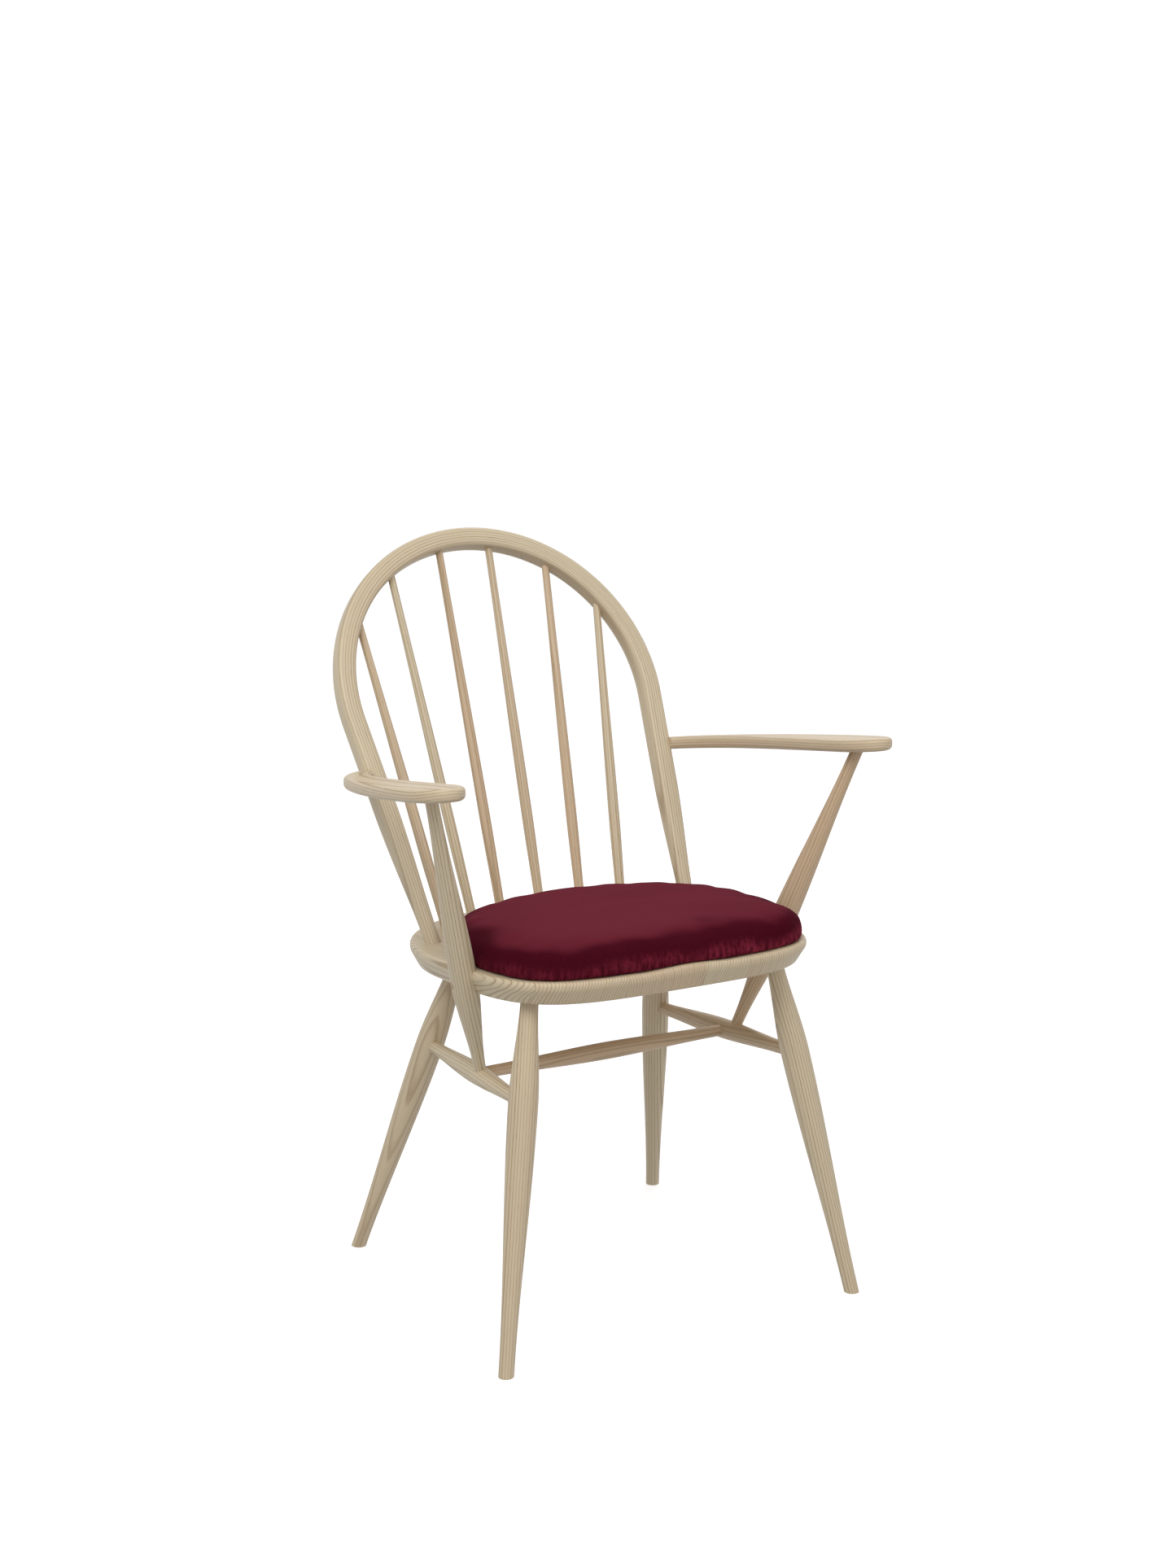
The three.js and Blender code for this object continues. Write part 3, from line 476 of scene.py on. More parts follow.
class Shader:
    """A small helper that adds nodes to a material and links them."""

    def __init__(self, name):
        self.material = bpy.data.materials.new(name)
        self.material.use_nodes = True
        self.tree = self.material.node_tree
        self.principled = self.tree.nodes["Principled BSDF"]

    def add(self, kind, *values, **props):
        node = self.tree.nodes.new(kind)
        for key, value in props.items():
            setattr(node, key, value)
        for socket, value in zip(node.inputs, values):
            self.put(socket, value)
        return node

    def put(self, socket, value):
        if value is None:
            return
        if isinstance(value, bpy.types.NodeSocket):
            self.tree.links.new(value, socket)
        else:
            socket.default_value = value

    def math(self, operation, a, b=None):
        return self.add("ShaderNodeMath", a, b, operation=operation).outputs[0]

    def scaled(self, vector, factors):
        return self.add("ShaderNodeVectorMath", vector, factors,
                        operation="MULTIPLY").outputs[0]

    def noise(self, vector, scale, detail=2.0, roughness=0.5):
        node = self.add("ShaderNodeTexNoise")
        self.put(node.inputs["Vector"], vector)
        self.put(node.inputs["Scale"], scale)
        self.put(node.inputs["Detail"], detail)
        self.put(node.inputs["Roughness"], roughness)
        return node.outputs["Fac"]

    def remap(self, value, low, high, to_low=0.0, to_high=1.0, kind="SMOOTHSTEP"):
        node = self.add("ShaderNodeMapRange", interpolation_type=kind)
        for socket, number in zip(node.inputs, (value, low, high, to_low, to_high)):
            self.put(socket, number)
        return node.outputs[0]

    def mix(self, factor, a, b, blend="MIX"):
        node = self.add("ShaderNodeMix", data_type="RGBA", blend_type=blend)
        self.put(node.inputs["Factor"], factor)
        by_id = {s.identifier: s for s in node.inputs}
        self.put(by_id["A_Color"], (*a, 1.0) if isinstance(a, tuple) else a)
        self.put(by_id["B_Color"], (*b, 1.0) if isinstance(b, tuple) else b)
        return {s.identifier: s for s in node.outputs}["Result_Color"]

    def attribute(self, name, output="Fac"):
        return self.add("ShaderNodeAttribute", attribute_name=name).outputs[output]

    def bump(self, height, strength, distance):
        node = self.add("ShaderNodeBump")
        self.put(node.inputs["Strength"], strength)
        self.put(node.inputs["Distance"], distance)
        self.put(node.inputs["Height"], height)
        self.put(self.principled.inputs["Normal"], node.outputs[0])

    def finish(self, **inputs):
        for name, value in inputs.items():
            self.put(self.principled.inputs[name.replace("_", " ")], value)
        return self.material


def ash_colour(shader, grain, tone):
    """Growth rings about a pith, with pores in the early wood, fibres and warm patches."""
    finish = settings().finish
    pale, ring, warm = (tuple(c) for c in (finish.ash_pale, finish.ash_ring, finish.ash_warm))
    drift = shader.noise(shader.scaled(grain, (9.0, 9.0, 1.0)), 1.0, 1.0)
    waver = shader.noise(shader.scaled(grain, (55.0, 55.0, 3.0)), 1.0, 2.0)
    flat = shader.scaled(grain, (1.0, 1.0, 0.0))
    radius = shader.add("ShaderNodeVectorMath", flat, operation="LENGTH").outputs["Value"]
    radius = shader.math("ADD", radius, shader.math("MULTIPLY", drift, RING_DRIFT))
    radius = shader.math("ADD", radius, shader.math("MULTIPLY", waver, RING_WAVER))
    phase = shader.math("DIVIDE", radius, RING_SPACING)
    share = shader.math("FRACT", phase)
    rise = shader.remap(share, 0.0, 0.14)
    fall = shader.remap(share, 0.16, 0.54, 1.0, 0.0)
    early = shader.math("MULTIPLY", rise, fall)
    year = shader.add("ShaderNodeTexWhiteNoise", noise_dimensions="1D")
    shader.put(year.inputs["W"], shader.math("FLOOR", phase))
    strength = shader.remap(year.outputs["Value"], 0.0, 1.0, 0.45, 1.0, "LINEAR")
    early = shader.math("MULTIPLY", early, strength)
    fibre = shader.noise(shader.scaled(grain, (900.0, 900.0, 16.0)), 1.0, 3.0, 0.6)
    fine = shader.remap(fibre, 0.30, 0.72, 0.0, 1.0)
    pore = shader.noise(shader.scaled(grain, (1500.0, 1500.0, 60.0)), 1.0, 1.0)
    pores = shader.math("MULTIPLY", shader.remap(pore, 0.60, 0.68), early)
    patch = shader.remap(shader.noise(shader.scaled(grain, (10.0, 10.0, 3.0)), 1.0), 0.35, 0.75)
    base = shader.mix(shader.math("MULTIPLY", patch, 0.30), pale, warm)
    base = shader.mix(shader.remap(tone, 0.0, 1.0, 0.0, 0.95, "LINEAR"), base, warm)
    base = shader.mix(shader.math("MULTIPLY", early, 0.90), base, ring)
    base = shader.mix(shader.math("MULTIPLY", fine, 0.14), base, ring)
    base = shader.mix(shader.math("MULTIPLY", pores, 0.55), base, PORE_COLOUR)
    relief = shader.math("SUBTRACT", shader.math("MULTIPLY", fine, 0.5), early)
    return base, relief, fine


def ash_material(name, from_object=False):
    shader = Shader(name)
    if from_object:
        place = shader.add("ShaderNodeTexCoord").outputs["Object"]
        grain = shader.add("ShaderNodeVectorMath", place, (0.09, 0.04, 0.0)).outputs[0]
        tone = 1.0
    else:
        grain = shader.attribute("grain", "Vector")
        tone = shader.attribute("tone")
    colour, relief, fine = ash_colour(shader, grain, tone)
    if from_object:
        colour = shader.mix(0.45, colour, tuple(settings().finish.ash_ring), "MULTIPLY")
    shader.bump(relief, 0.35, 0.00025)
    roughness = shader.remap(fine, 0.0, 1.0, 0.36, 0.52, "LINEAR")
    return shader.finish(Base_Color=colour, Roughness=roughness, Specular_IOR_Level=0.45)


def velvet_material():
    """Velvet with painted shade up the sides and over the roll, and painted light in a band low on
    the sides.
    """
    finish = settings().finish
    mid, deep, lit = (tuple(c) for c in
                      (finish.velvet_mid, finish.velvet_painted_shade, finish.velvet_painted_light))
    shader = Shader("wine velvet")
    place = shader.add("ShaderNodeTexCoord").outputs["Object"]
    height = shader.attribute("side_height")
    blotch = shader.noise(shader.scaled(place, (15.0, 15.0, 12.0)), 1.0, 1.0, 0.5)
    streak = shader.noise(shader.scaled(place, (230.0, 230.0, 60.0)), 1.0, 4.0, 0.7)
    speck = shader.noise(shader.scaled(place, (700.0, 700.0, 420.0)), 1.0, 2.0)
    pile = shader.noise(place, 2600.0, 2.0, 0.6)
    across = shader.add("ShaderNodeSeparateXYZ", place).outputs["X"]
    side = shader.remap(across, -0.16, 0.16, 0.45, 1.0)
    edge = shader.math("ADD", height, shader.remap(blotch, 0.25, 0.75, -0.16, 0.16, "LINEAR"))
    # painted light: a mottled band low on the sides, stronger towards +X
    painted_light_band = shader.remap(edge, 0.16, 0.62, 1.0, 0.0)
    painted_light_band = shader.math("MULTIPLY", painted_light_band, shader.remap(streak, 0.38, 0.64, 0.10, 1.0))
    painted_light_band = shader.math("MULTIPLY", painted_light_band, side)
    # painted shade: the sides and the roll take the shade colour, the top keeps the plain velvet
    # colour
    crown = shader.remap(edge, 0.86, 1.13)
    colour = shader.mix(crown, deep, mid)
    colour = shader.mix(painted_light_band, colour, lit)
    sweep = shader.noise(shader.scaled(place, (7.0, 16.0, 7.0)), 1.0, 2.0)
    brushed = shader.math("MULTIPLY", shader.remap(sweep, 0.40, 0.70), crown)
    colour = shader.mix(shader.math("MULTIPLY", brushed, 0.12), colour, deep)
    colour = shader.mix(shader.math("MULTIPLY", shader.remap(speck, 0.55, 0.75), 0.14), colour, lit)
    colour = shader.mix(shader.math("MULTIPLY", shader.remap(pile, 0.35, 0.65), 0.16), colour, deep)
    rough = shader.math("ADD", shader.math("MULTIPLY", streak, 0.5), pile)
    shader.bump(rough, 0.30, 0.0004)
    return shader.finish(Base_Color=colour, Roughness=0.92, Specular_IOR_Level=0.03,
                         Sheen_Weight=0.10, Sheen_Roughness=0.32,
                         Sheen_Tint=(0.85, 0.20, 0.30, 1.0))


def lining_material():
    """Plain weave: two crossing sets of threads."""
    shader = Shader("woven lining")
    base = tuple(settings().finish.lining)
    place = shader.add("ShaderNodeTexCoord").outputs["Object"]
    turned = shader.add("ShaderNodeMapping", place, None, (0.0, 0.0, THREAD_TURN)).outputs[0]
    axes = shader.add("ShaderNodeSeparateXYZ", turned)
    threads = []
    for axis in ("X", "Y"):
        phase = shader.math("MULTIPLY", axes.outputs[axis], 2 * math.pi / THREAD_PITCH)
        threads.append(shader.math("SINE", phase))
    weave = shader.math("MULTIPLY", *threads)
    fluff = shader.noise(place, 900.0, 3.0)
    light = shader.remap(weave, -1.0, 1.0, 0.15, 0.9, "LINEAR")
    colour = shader.mix(light, base, THREAD_COLOUR)
    colour = shader.mix(shader.remap(fluff, 0.5, 0.8, 0.0, 0.4), colour, FLUFF_COLOUR)
    shader.bump(weave, 0.5, 0.0003)
    return shader.finish(Base_Color=colour, Roughness=0.9, Sheen_Weight=0.2,
                         Sheen_Roughness=0.5)


def floor_material():
    shader = Shader("studio floor")
    place = shader.add("ShaderNodeTexCoord").outputs["Object"]
    cloud = shader.noise(place, 0.6, 2.0)
    colour = shader.mix(cloud, *FLOOR_GREYS)
    return shader.finish(Base_Color=colour, Roughness=0.9, Specular_IOR_Level=0.1,
                         Emission_Color=(1.0, 1.0, 1.0, 1.0), Emission_Strength=FLOOR_GLOW)


MADE = {}


def material(make):
    """The finish that this function makes, made once."""
    if make not in MADE:
        MADE[make] = make()
    return MADE[make]


def plain_ash():
    return ash_material("pale ash wood")


def end_grain_ash():
    return ash_material("ash end grain wood", from_object=True)


def ash():
    return material(plain_ash)


# ---- Geometry Nodes -----------------------------------------------------------------------------


class Tree:
    """A geometry node tree with named inputs."""

    def __init__(self, name, inputs):
        self.tree = bpy.data.node_groups.new(name, "GeometryNodeTree")
        for label, kind, default in inputs:
            socket = self.tree.interface.new_socket(label, in_out="INPUT", socket_type=kind)
            if default is not None:
                socket.default_value = default
        self.tree.interface.new_socket(OUTPUT_SOCKET, in_out="OUTPUT",
                                       socket_type="NodeSocketGeometry")
        self.inputs = self.tree.nodes.new("NodeGroupInput").outputs
        self.output = self.tree.nodes.new("NodeGroupOutput").inputs[OUTPUT_SOCKET]

    def add(self, kind, links=None, **props):
        node = self.tree.nodes.new(kind)
        for key, value in props.items():
            setattr(node, key, value)
        for name, value in (links or {}).items():
            socket = node.inputs[name]
            if isinstance(value, bpy.types.NodeSocket):
                self.tree.links.new(value, socket)
            else:
                socket.default_value = value
        return node

    def close(self, geometry, material_socket):
        real = self.add("GeometryNodeRealizeInstances", {"Geometry": geometry})
        painted = self.add("GeometryNodeSetMaterial",
                           {"Geometry": real.outputs[0], "Material": material_socket})
        self.tree.links.new(painted.outputs[0], self.output)
        return self.tree


def turned_tree():
    """A turned piece from Start to End: a neck, a swell to the belly, and a fall to a neck."""
    known = bpy.data.node_groups.get("Turned Piece")
    if known:
        return known
    tree = Tree("Turned Piece", [
        ("Start", "NodeSocketVector", (0.0, 0.0, 0.0)),
        ("End", "NodeSocketVector", (0.0, 0.0, 0.4)),
        ("Start Radius", "NodeSocketFloat", 0.008),
        ("Belly Radius", "NodeSocketFloat", 0.016),
        ("End Radius", "NodeSocketFloat", 0.008),
        ("Start Neck", "NodeSocketFloat", 0.0),
        ("Belly Place", "NodeSocketFloat", 0.2),
        ("End Neck", "NodeSocketFloat", 0.4),
        ("Grain Offset", "NodeSocketVector", (0.0, 0.0, 0.0)),
        ("Rings", "NodeSocketInt", 90),
        ("Facets", "NodeSocketInt", 40),
        ("Material", "NodeSocketMaterial", None),
    ])
    given = tree.inputs
    span = tree.add("ShaderNodeVectorMath", operation="SUBTRACT")
    tree.tree.links.new(given["End"], span.inputs[0])
    tree.tree.links.new(given["Start"], span.inputs[1])
    size = tree.add("ShaderNodeVectorMath", {"Vector": span.outputs[0]}, operation="LENGTH")
    tip = tree.add("ShaderNodeCombineXYZ", {"Z": size.outputs["Value"]})
    line = tree.add("GeometryNodeCurvePrimitiveLine", {"End": tip.outputs[0]}, mode="POINTS")
    rings = tree.add("GeometryNodeResampleCurve",
                     {"Curve": line.outputs[0], "Count": given["Rings"]}, mode="COUNT")
    along = tree.add("GeometryNodeSplineParameter").outputs["Length"]

    def swell(low, high, from_radius, to_radius):
        node = tree.add("ShaderNodeMapRange", interpolation_type="SMOOTHSTEP")
        for index, socket in enumerate((along, low, high, from_radius, to_radius)):
            tree.tree.links.new(socket, node.inputs[index])
        return node.outputs[0]

    rise = swell(given["Start Neck"], given["Belly Place"], given["Start Radius"],
                 given["Belly Radius"])
    fall = swell(given["Belly Place"], given["End Neck"], given["Belly Radius"],
                 given["End Radius"])
    before = tree.add("FunctionNodeCompare", operation="LESS_THAN", data_type="FLOAT")
    tree.tree.links.new(along, before.inputs[0])
    tree.tree.links.new(given["Belly Place"], before.inputs[1])
    radius = tree.add("GeometryNodeSwitch", {"Switch": before.outputs[0], "False": fall,
                                             "True": rise}, input_type="FLOAT")
    circle = tree.add("GeometryNodeCurvePrimitiveCircle",
                      {"Resolution": given["Facets"], "Radius": 1.0}, mode="RADIUS")
    turned = tree.add("GeometryNodeCurveToMesh",
                      {"Curve": rings.outputs[0], "Profile Curve": circle.outputs[0],
                       "Scale": radius.outputs[0], "Fill Caps": True})
    where = tree.add("GeometryNodeInputPosition")
    grain = tree.add("ShaderNodeVectorMath", operation="ADD")
    tree.tree.links.new(where.outputs[0], grain.inputs[0])
    tree.tree.links.new(given["Grain Offset"], grain.inputs[1])
    stored = tree.add("GeometryNodeStoreNamedAttribute",
                      {"Geometry": turned.outputs[0], "Name": "grain",
                       "Value": grain.outputs[0]}, data_type="FLOAT_VECTOR", domain="POINT")
    aimed = tree.add("FunctionNodeAlignRotationToVector", {"Vector": span.outputs[0]}, axis="Z")
    placed = tree.add("GeometryNodeTransform",
                      {"Geometry": stored.outputs[0], "Translation": given["Start"],
                       "Rotation": aimed.outputs[0]})
    return tree.close(placed.outputs[0], given["Material"])


def from_tree(tree, values, start=None):
    """The plain mesh that a tree makes from named input values, and from a curve if given."""
    carrier = bpy.data.objects.new("carrier", start or bpy.data.meshes.new("carrier"))
    bpy.context.scene.collection.objects.link(carrier)
    modifier = carrier.modifiers.new("Nodes", "NODES")
    modifier.node_group = tree
    names = {item.name: item.identifier for item in tree.interface.items_tree
             if item.in_out == "INPUT"}
    for name, value in values.items():
        modifier[names[name]] = value
    carrier.update_tag()
    mesh = applied(carrier)
    carrier.modifiers.remove(modifier)
    bpy.data.objects.remove(carrier)
    return mesh


# Every piece of wood is sawn from its own place in a log: how far off the pith it lies (metres),
# which way the pith lies (radians), and how warm its tone is (0 to 1).
CUTTING_LIST = {
    "leg_front_left": (0.110, 2.95, 0.16),
    "leg_front_right": (0.130, 2.62, 0.34),
    "leg_rear_left": (0.090, 2.20, 0.12),
    "leg_rear_right": (0.060, 4.10, 0.26),
    "stretcher_side_left": (0.075, 4.50, 0.62),
    "stretcher_side_right": (0.120, 2.50, 0.05),
    "stretcher_cross": (0.070, 4.30, 1.0),
    "hoop": (0.140, 0.05, 0.05),
    "arm_stump_left": (0.110, 2.75, 1.0),
    "arm_stump_right": (0.120, 2.45, 0.0),
    "arm_left": (0.150, 1.45, 0.42),
    "arm_right": (0.130, 1.62, 0.26),
    "spindle_1": (0.090, 2.30, 0.60),
    "spindle_2": (0.110, 2.70, 0.0),
    "spindle_3": (0.070, 4.00, 0.85),
    "spindle_4": (0.100, 2.60, 0.50),
    "spindle_5": (0.080, 3.40, 0.80),
    "spindle_6": (0.120, 2.62, 0.15),
    "seat_board_1": (0.160, 0.15, 0.10),
    "seat_board_2": (0.190, 2.95, 0.34),
    "seat_board_3": (0.150, 0.22, 0.50),
    "seat_board_4": (0.210, 2.90, 0.12),
    "seat_board_5": (0.170, 0.12, 0.32),
    "seat_board_6": (0.150, 3.05, 0.08),
}
LOG_STEP = 0.37


def log_place(node):
    distance, angle, _ = CUTTING_LIST[node]
    along = LOG_STEP * list(CUTTING_LIST).index(node)
    return Vector((distance * math.cos(angle), distance * math.sin(angle), along))


def turned_mesh(start, end, radii, stops, node):
    """A turned piece in the frame; radii and stops are start, belly and end."""
    turning = settings().turning
    mesh = from_tree(turned_tree(), {
        "Start": tuple(start + SHIFT), "End": tuple(end + SHIFT),
        "Start Radius": radii[0], "Belly Radius": radii[1], "End Radius": radii[2],
        "Start Neck": stops[0], "Belly Place": stops[1], "End Neck": stops[2],
        "Grain Offset": tuple(log_place(node)), "Rings": turning.rings,
        "Facets": turning.facets, "Material": ash(),
    })
    outward(mesh)
    return mesh


SIDES = (("left", False), ("right", True))


def on_side(point, mirror):
    return mirrored(point) if mirror else point


# ---- Operators ----------------------------------------------------------------------------------


class ARMCHAIR_OT_legs(Operator):
    """Builds the four turned legs, cut flat at the floor and flush with the saddle"""
    bl_idname = "armchair.legs"
    bl_label = "Legs"

    def execute(self, context):
        turning = settings().turning
        joints = stretcher_joints()
        below, past, proud = 0.01, 0.06, 0.0002
        for end, place in LEG_PLACES.items():
            foot, seat = leg_ends(place)
            axis = (seat - foot).normalized()
            top = seat.copy()
            for _ in range(8):
                top = at_height(foot, seat, float(seat_surface(top.x, top.y)))
            step = 0.002
            rise_x = (seat_surface(top.x + step, top.y) - seat_surface(top.x - step, top.y))
            rise_y = (seat_surface(top.x, top.y + step) - seat_surface(top.x, top.y - step))
            normal = Vector((-rise_x, -rise_y, 2 * step)).normalized()
            for side, mirror in SIDES:
                node = f"leg_{end}_{side}"
                start = on_side(foot - axis * below, mirror)
                tip = on_side(seat + axis * past, mirror)
                belly = below + (joints[end] - foot).length
                mesh = turned_mesh(start, tip,
                                   (turning.foot_radius, turning.belly_radius,
                                    turning.tenon_radius),
                                   (below, belly, below + (seat - foot).length), node)
                cut(mesh, Vector((0, 0, 0)), Vector((0, 0, -1)))
                cut(mesh, on_side(top, mirror) + SHIFT + Vector((0, 0, proud)),
                    on_side(normal, mirror))
                add_wood("turned", mesh, node)
        return {"FINISHED"}


class ARMCHAIR_OT_stretchers(Operator):
    """Builds the two side stretchers and the cross stretcher"""
    bl_idname = "armchair.stretchers"
    bl_label = "Stretchers"

    def execute(self, context):
        turning = settings().turning
        joints = stretcher_joints()
        neck, past = 0.016, 0.005
        radii = (turning.stretcher_end, turning.stretcher_belly, turning.stretcher_end)
        front, rear = joints["front"], joints["rear"]
        length = (rear - front).length
        axis = (rear - front).normalized()
        for side, mirror in SIDES:
            node = f"stretcher_side_{side}"
            mesh = turned_mesh(on_side(front - axis * past, mirror),
                               on_side(rear + axis * past, mirror), radii,
                               (past + neck, past + length / 2, past + length - neck), node)
            add_wood("turned", mesh, node)
        start = on_side_stretcher(turning.cross_y)
        end = mirrored(start)
        length = (end - start).length
        mesh = turned_mesh(start, end, (turning.cross_end, turning.cross_belly,
                                        turning.cross_end),
                           (neck, length / 2, length - neck), "stretcher_cross")
        add_wood("turned", mesh, "stretcher_cross")
        return {"FINISHED"}


class ARMCHAIR_OT_spindles(Operator):
    """Builds the six spindles between the seat and the hoop"""
    bl_idname = "armchair.spindles"
    bl_label = "Spindles"

    def execute(self, context):
        spindle, plane = settings().spindle, HoopPlane()
        row = [(p, True) for p in reversed(SPINDLE_PLACES)] + [(p, False) for p in SPINDLE_PLACES]
        for i, (place, mirror) in enumerate(row):
            node = f"spindle_{i + 1}"
            x, y = place["seat"]
            foot = Vector((x, y, seat_plane(y)))
            angle = math.acos(place["top"] / plane.sizes.top_radius)
            u, v, _, _ = plane.top(angle)
            centre = plane.point(u, v)
            axis = (centre - foot).normalized()
            length = (centre - foot).length - plane.sizes.half_width + spindle.hoop_tenon
            tenon = spindle.seat_tenon
            mesh = turned_mesh(on_side(foot - axis * tenon, mirror),
                               on_side(foot + axis * length, mirror),
                               (spindle.foot_radius, spindle.belly_radius, spindle.top_radius),
                               (tenon, tenon + length * spindle.belly_at,
                                tenon + length - spindle.hoop_tenon), node)
            add_wood("turned", mesh, node)
        return {"FINISHED"}


class ARMCHAIR_OT_hoop(Operator):
    """Bends the hoop: straight legs that run into a round top, round at the feet and softly
    square above"""
    bl_idname = "armchair.hoop"
    bl_label = "Hoop"

    facets = 36

    def section(self, plane, at, full):
        hoop = plane.sizes
        u, v, out_u, out_v = at
        width = lerp(hoop.tenon_radius, hoop.half_width, full)
        depth = lerp(hoop.tenon_radius, hoop.half_depth, full)
        power = lerp(2.0, hoop.squareness, full)
        angles = 2 * np.pi * np.arange(self.facets) / self.facets
        c, s = np.cos(angles), np.sin(angles)
        radius = (np.abs(c / width) ** power + np.abs(s / depth) ** power) ** (-1 / power)
        centre = np.array(plane.point(u, v))
        way_out = np.array(Vector((out_u, 0, 0)) + plane.up * out_v)
        across, back = radius * c, radius * s
        ring = centre + np.outer(across, way_out) + np.outer(back, np.array(plane.back))
        return ring, across, back

    def execute(self, context):
        plane = HoopPlane()
        hoop = plane.sizes
        tenon = settings().seat.thickness / math.cos(hoop.lean) + 0.012
        up_leg = np.linspace(-tenon, plane.leg_length, 72)[:-1]
        half = [(plane.leg(d), float(smooth(d / hoop.taper)), d) for d in up_leg]
        arc = np.linspace(plane.tangent, math.pi - plane.tangent, 121)
        stations = list(half)
        for angle in arc:
            way = plane.leg_length + hoop.top_radius * (angle - plane.tangent)
            stations.append((plane.top(angle), 1.0, way))
        end = stations[-1][2] + plane.leg_length
        for (u, v, out_u, out_v), full, d in reversed(half):
            stations.append(((-u, v, -out_u, out_v), full, end - d))
        rings, grain = [], []
        offset = np.array(log_place("hoop"))
        for at, full, way in stations:
            ring, across, back = self.section(plane, at, full)
            rings.append(ring)
            grain.append(np.column_stack([across, back, np.full(len(across), way)]) + offset)
        ends = [np.array(plane.point(s[0][0], s[0][1])) for s in (stations[0], stations[-1])]
        caps = [offset + (0, 0, stations[0][2]), offset + (0, 0, end)]
        points, faces = skin(rings, *ends)
        grain = np.vstack([[caps[0]], *grain, [caps[1]]])
        mesh = mesh_from("hoop", shifted(points), faces, grain)
        outward(mesh)
        seat = settings().seat
        under = Vector((0, hoop.foot_y, seat_underside(hoop.foot_y))) + SHIFT
        cut(mesh, under, Vector((0, -seat.slope, -1)))
        add_wood("bent", mesh, "hoop")
        return {"FINISHED"}


class ARMCHAIR_OT_arms(Operator):
    """Shapes the two flat arms, with rounded edges and a broad round tip"""
    bl_idname = "armchair.arms"
    bl_label = "Arms"

    def plan(self):
        """The arm's outline in plan, anticlockwise, with its distance along the arm."""
        arm = settings().arm
        joint, _ = arm_joint()
        a = np.array([joint.x, joint.y])
        d = np.array([arm.stump_x, arm.stump_y])
        b = a + (arm.sweep_out, -arm.rear_half)
        c = d + (0.001, arm.sweep_in)
        t = np.linspace(0, 1, 72)[:, None]
        middle = (1 - t) ** 3 * a + 3 * (1 - t) ** 2 * t * b + 3 * (1 - t) * t * t * c + t ** 3 * d
        run = (3 * (1 - t) ** 2 * (b - a) + 6 * (1 - t) * t * (c - b) + 3 * t * t * (d - c))
        run /= np.linalg.norm(run, axis=1)[:, None]
        waist = lerp(arm.rear_half, arm.waist_half, smooth(t / 0.45))
        half = lerp(waist, arm.tip_half, smooth((t - 0.35) / 0.65))
        side = np.column_stack([-run[:, 1], run[:, 0]]) * half
        step = np.r_[0, np.cumsum(np.linalg.norm(np.diff(middle, axis=0), axis=1))]
        turn = np.linspace(0, np.pi, 40)[1:-1]
        tip = d + np.column_stack([arm.tip_half * np.cos(turn), -arm.tip_length * np.sin(turn)])
        tip_way = step[-1] + arm.tip_length * np.sin(turn)
        points = np.vstack([middle + side, tip, (middle - side)[::-1]])
        across = np.r_[half[:, 0], arm.tip_half * np.cos(turn), -half[::-1, 0]]
        way = np.r_[step, tip_way, step[::-1]]
        area = np.sum(points[:, 0] * np.roll(points[:, 1], -1)
                      - points[:, 1] * np.roll(points[:, 0], -1))
        if area < 0:
            points, across, way = points[::-1], across[::-1], way[::-1]
        return points, across, way

    def execute(self, context):
        arm = settings().arm
        points, across, way = self.plan()
        ahead, behind = np.roll(points, -1, axis=0), np.roll(points, 1, axis=0)
        run = ahead - behind
        run /= np.linalg.norm(run, axis=1)[:, None]
        inward = np.column_stack([-run[:, 1], run[:, 0]])
        half, edge = arm.thickness / 2, arm.edge
        profile = [(edge - inset, z) for inset, z in
                   [(edge * math.cos(a), -half + edge - edge * math.sin(a))
                    for a in np.linspace(math.pi / 2, 0, 9)]]
        profile += [(inset, -z) for inset, z in reversed(profile)]
        joint, out = arm_joint()
        floor = settings().hoop.half_width - arm.housing
        for side, mirror in SIDES:
            node = f"arm_{side}"
            offset = np.array(log_place(node))
            rings, grain = [], []
            for inset, height in profile:
                flat = points + inward * inset
                z = arm_plane(flat[:, 1]) - half + height
                rings.append(np.column_stack([flat, z]))
                grain.append(np.column_stack([across, np.full(len(way), height), way]) + offset)
            count = len(points)
            last = (len(rings) - 1) * count
            faces = []
            for i in range(count // 2 - 1):
                a, b, c, d = i, i + 1, count - 2 - i, count - 1 - i
                faces += [(d, c, b, a), (last + a, last + b, last + c, last + d)]
            for i in range(len(rings) - 1):
                low = i * count
                for k in range(count):
                    after = (k + 1) % count
                    faces.append((low + k, low + after, low + count + after, low + count + k))
            cloud = np.vstack(rings)
            if mirror:
                cloud = cloud * (-1, 1, 1)
                faces = [tuple(reversed(face)) for face in faces]
            mesh = mesh_from("arm", shifted(cloud), faces, np.vstack(grain))
            outward(mesh)
            end_face = on_side(joint + out * floor, mirror) + SHIFT
            cut(mesh, end_face, on_side(-out, mirror))
            add_wood("shaped", mesh, node)
        return {"FINISHED"}


class ARMCHAIR_OT_stumps(Operator):
    """Builds the turned stumps that carry the arms from the side stretchers"""
    bl_idname = "armchair.stumps"
    bl_label = "Arm stumps"

    def execute(self, context):
        arm, turning = settings().arm, settings().turning
        foot, top = stump_ends()
        axis = (top - foot).normalized()
        at_seat = stump_at_seat()
        start_in, tenon = 0.0025, 0.009
        for side, mirror in SIDES:
            node = f"arm_stump_{side}"
            mesh = turned_mesh(on_side(foot + axis * start_in, mirror),
                               on_side(top + axis * tenon, mirror),
                               (arm.stump_foot, arm.stump_belly, arm.stump_top),
                               (turning.stretcher_belly - start_in,
                                (at_seat - foot).length - start_in,
                                (top - foot).length - start_in), node)
            add_wood("turned", mesh, node)
        return {"FINISHED"}


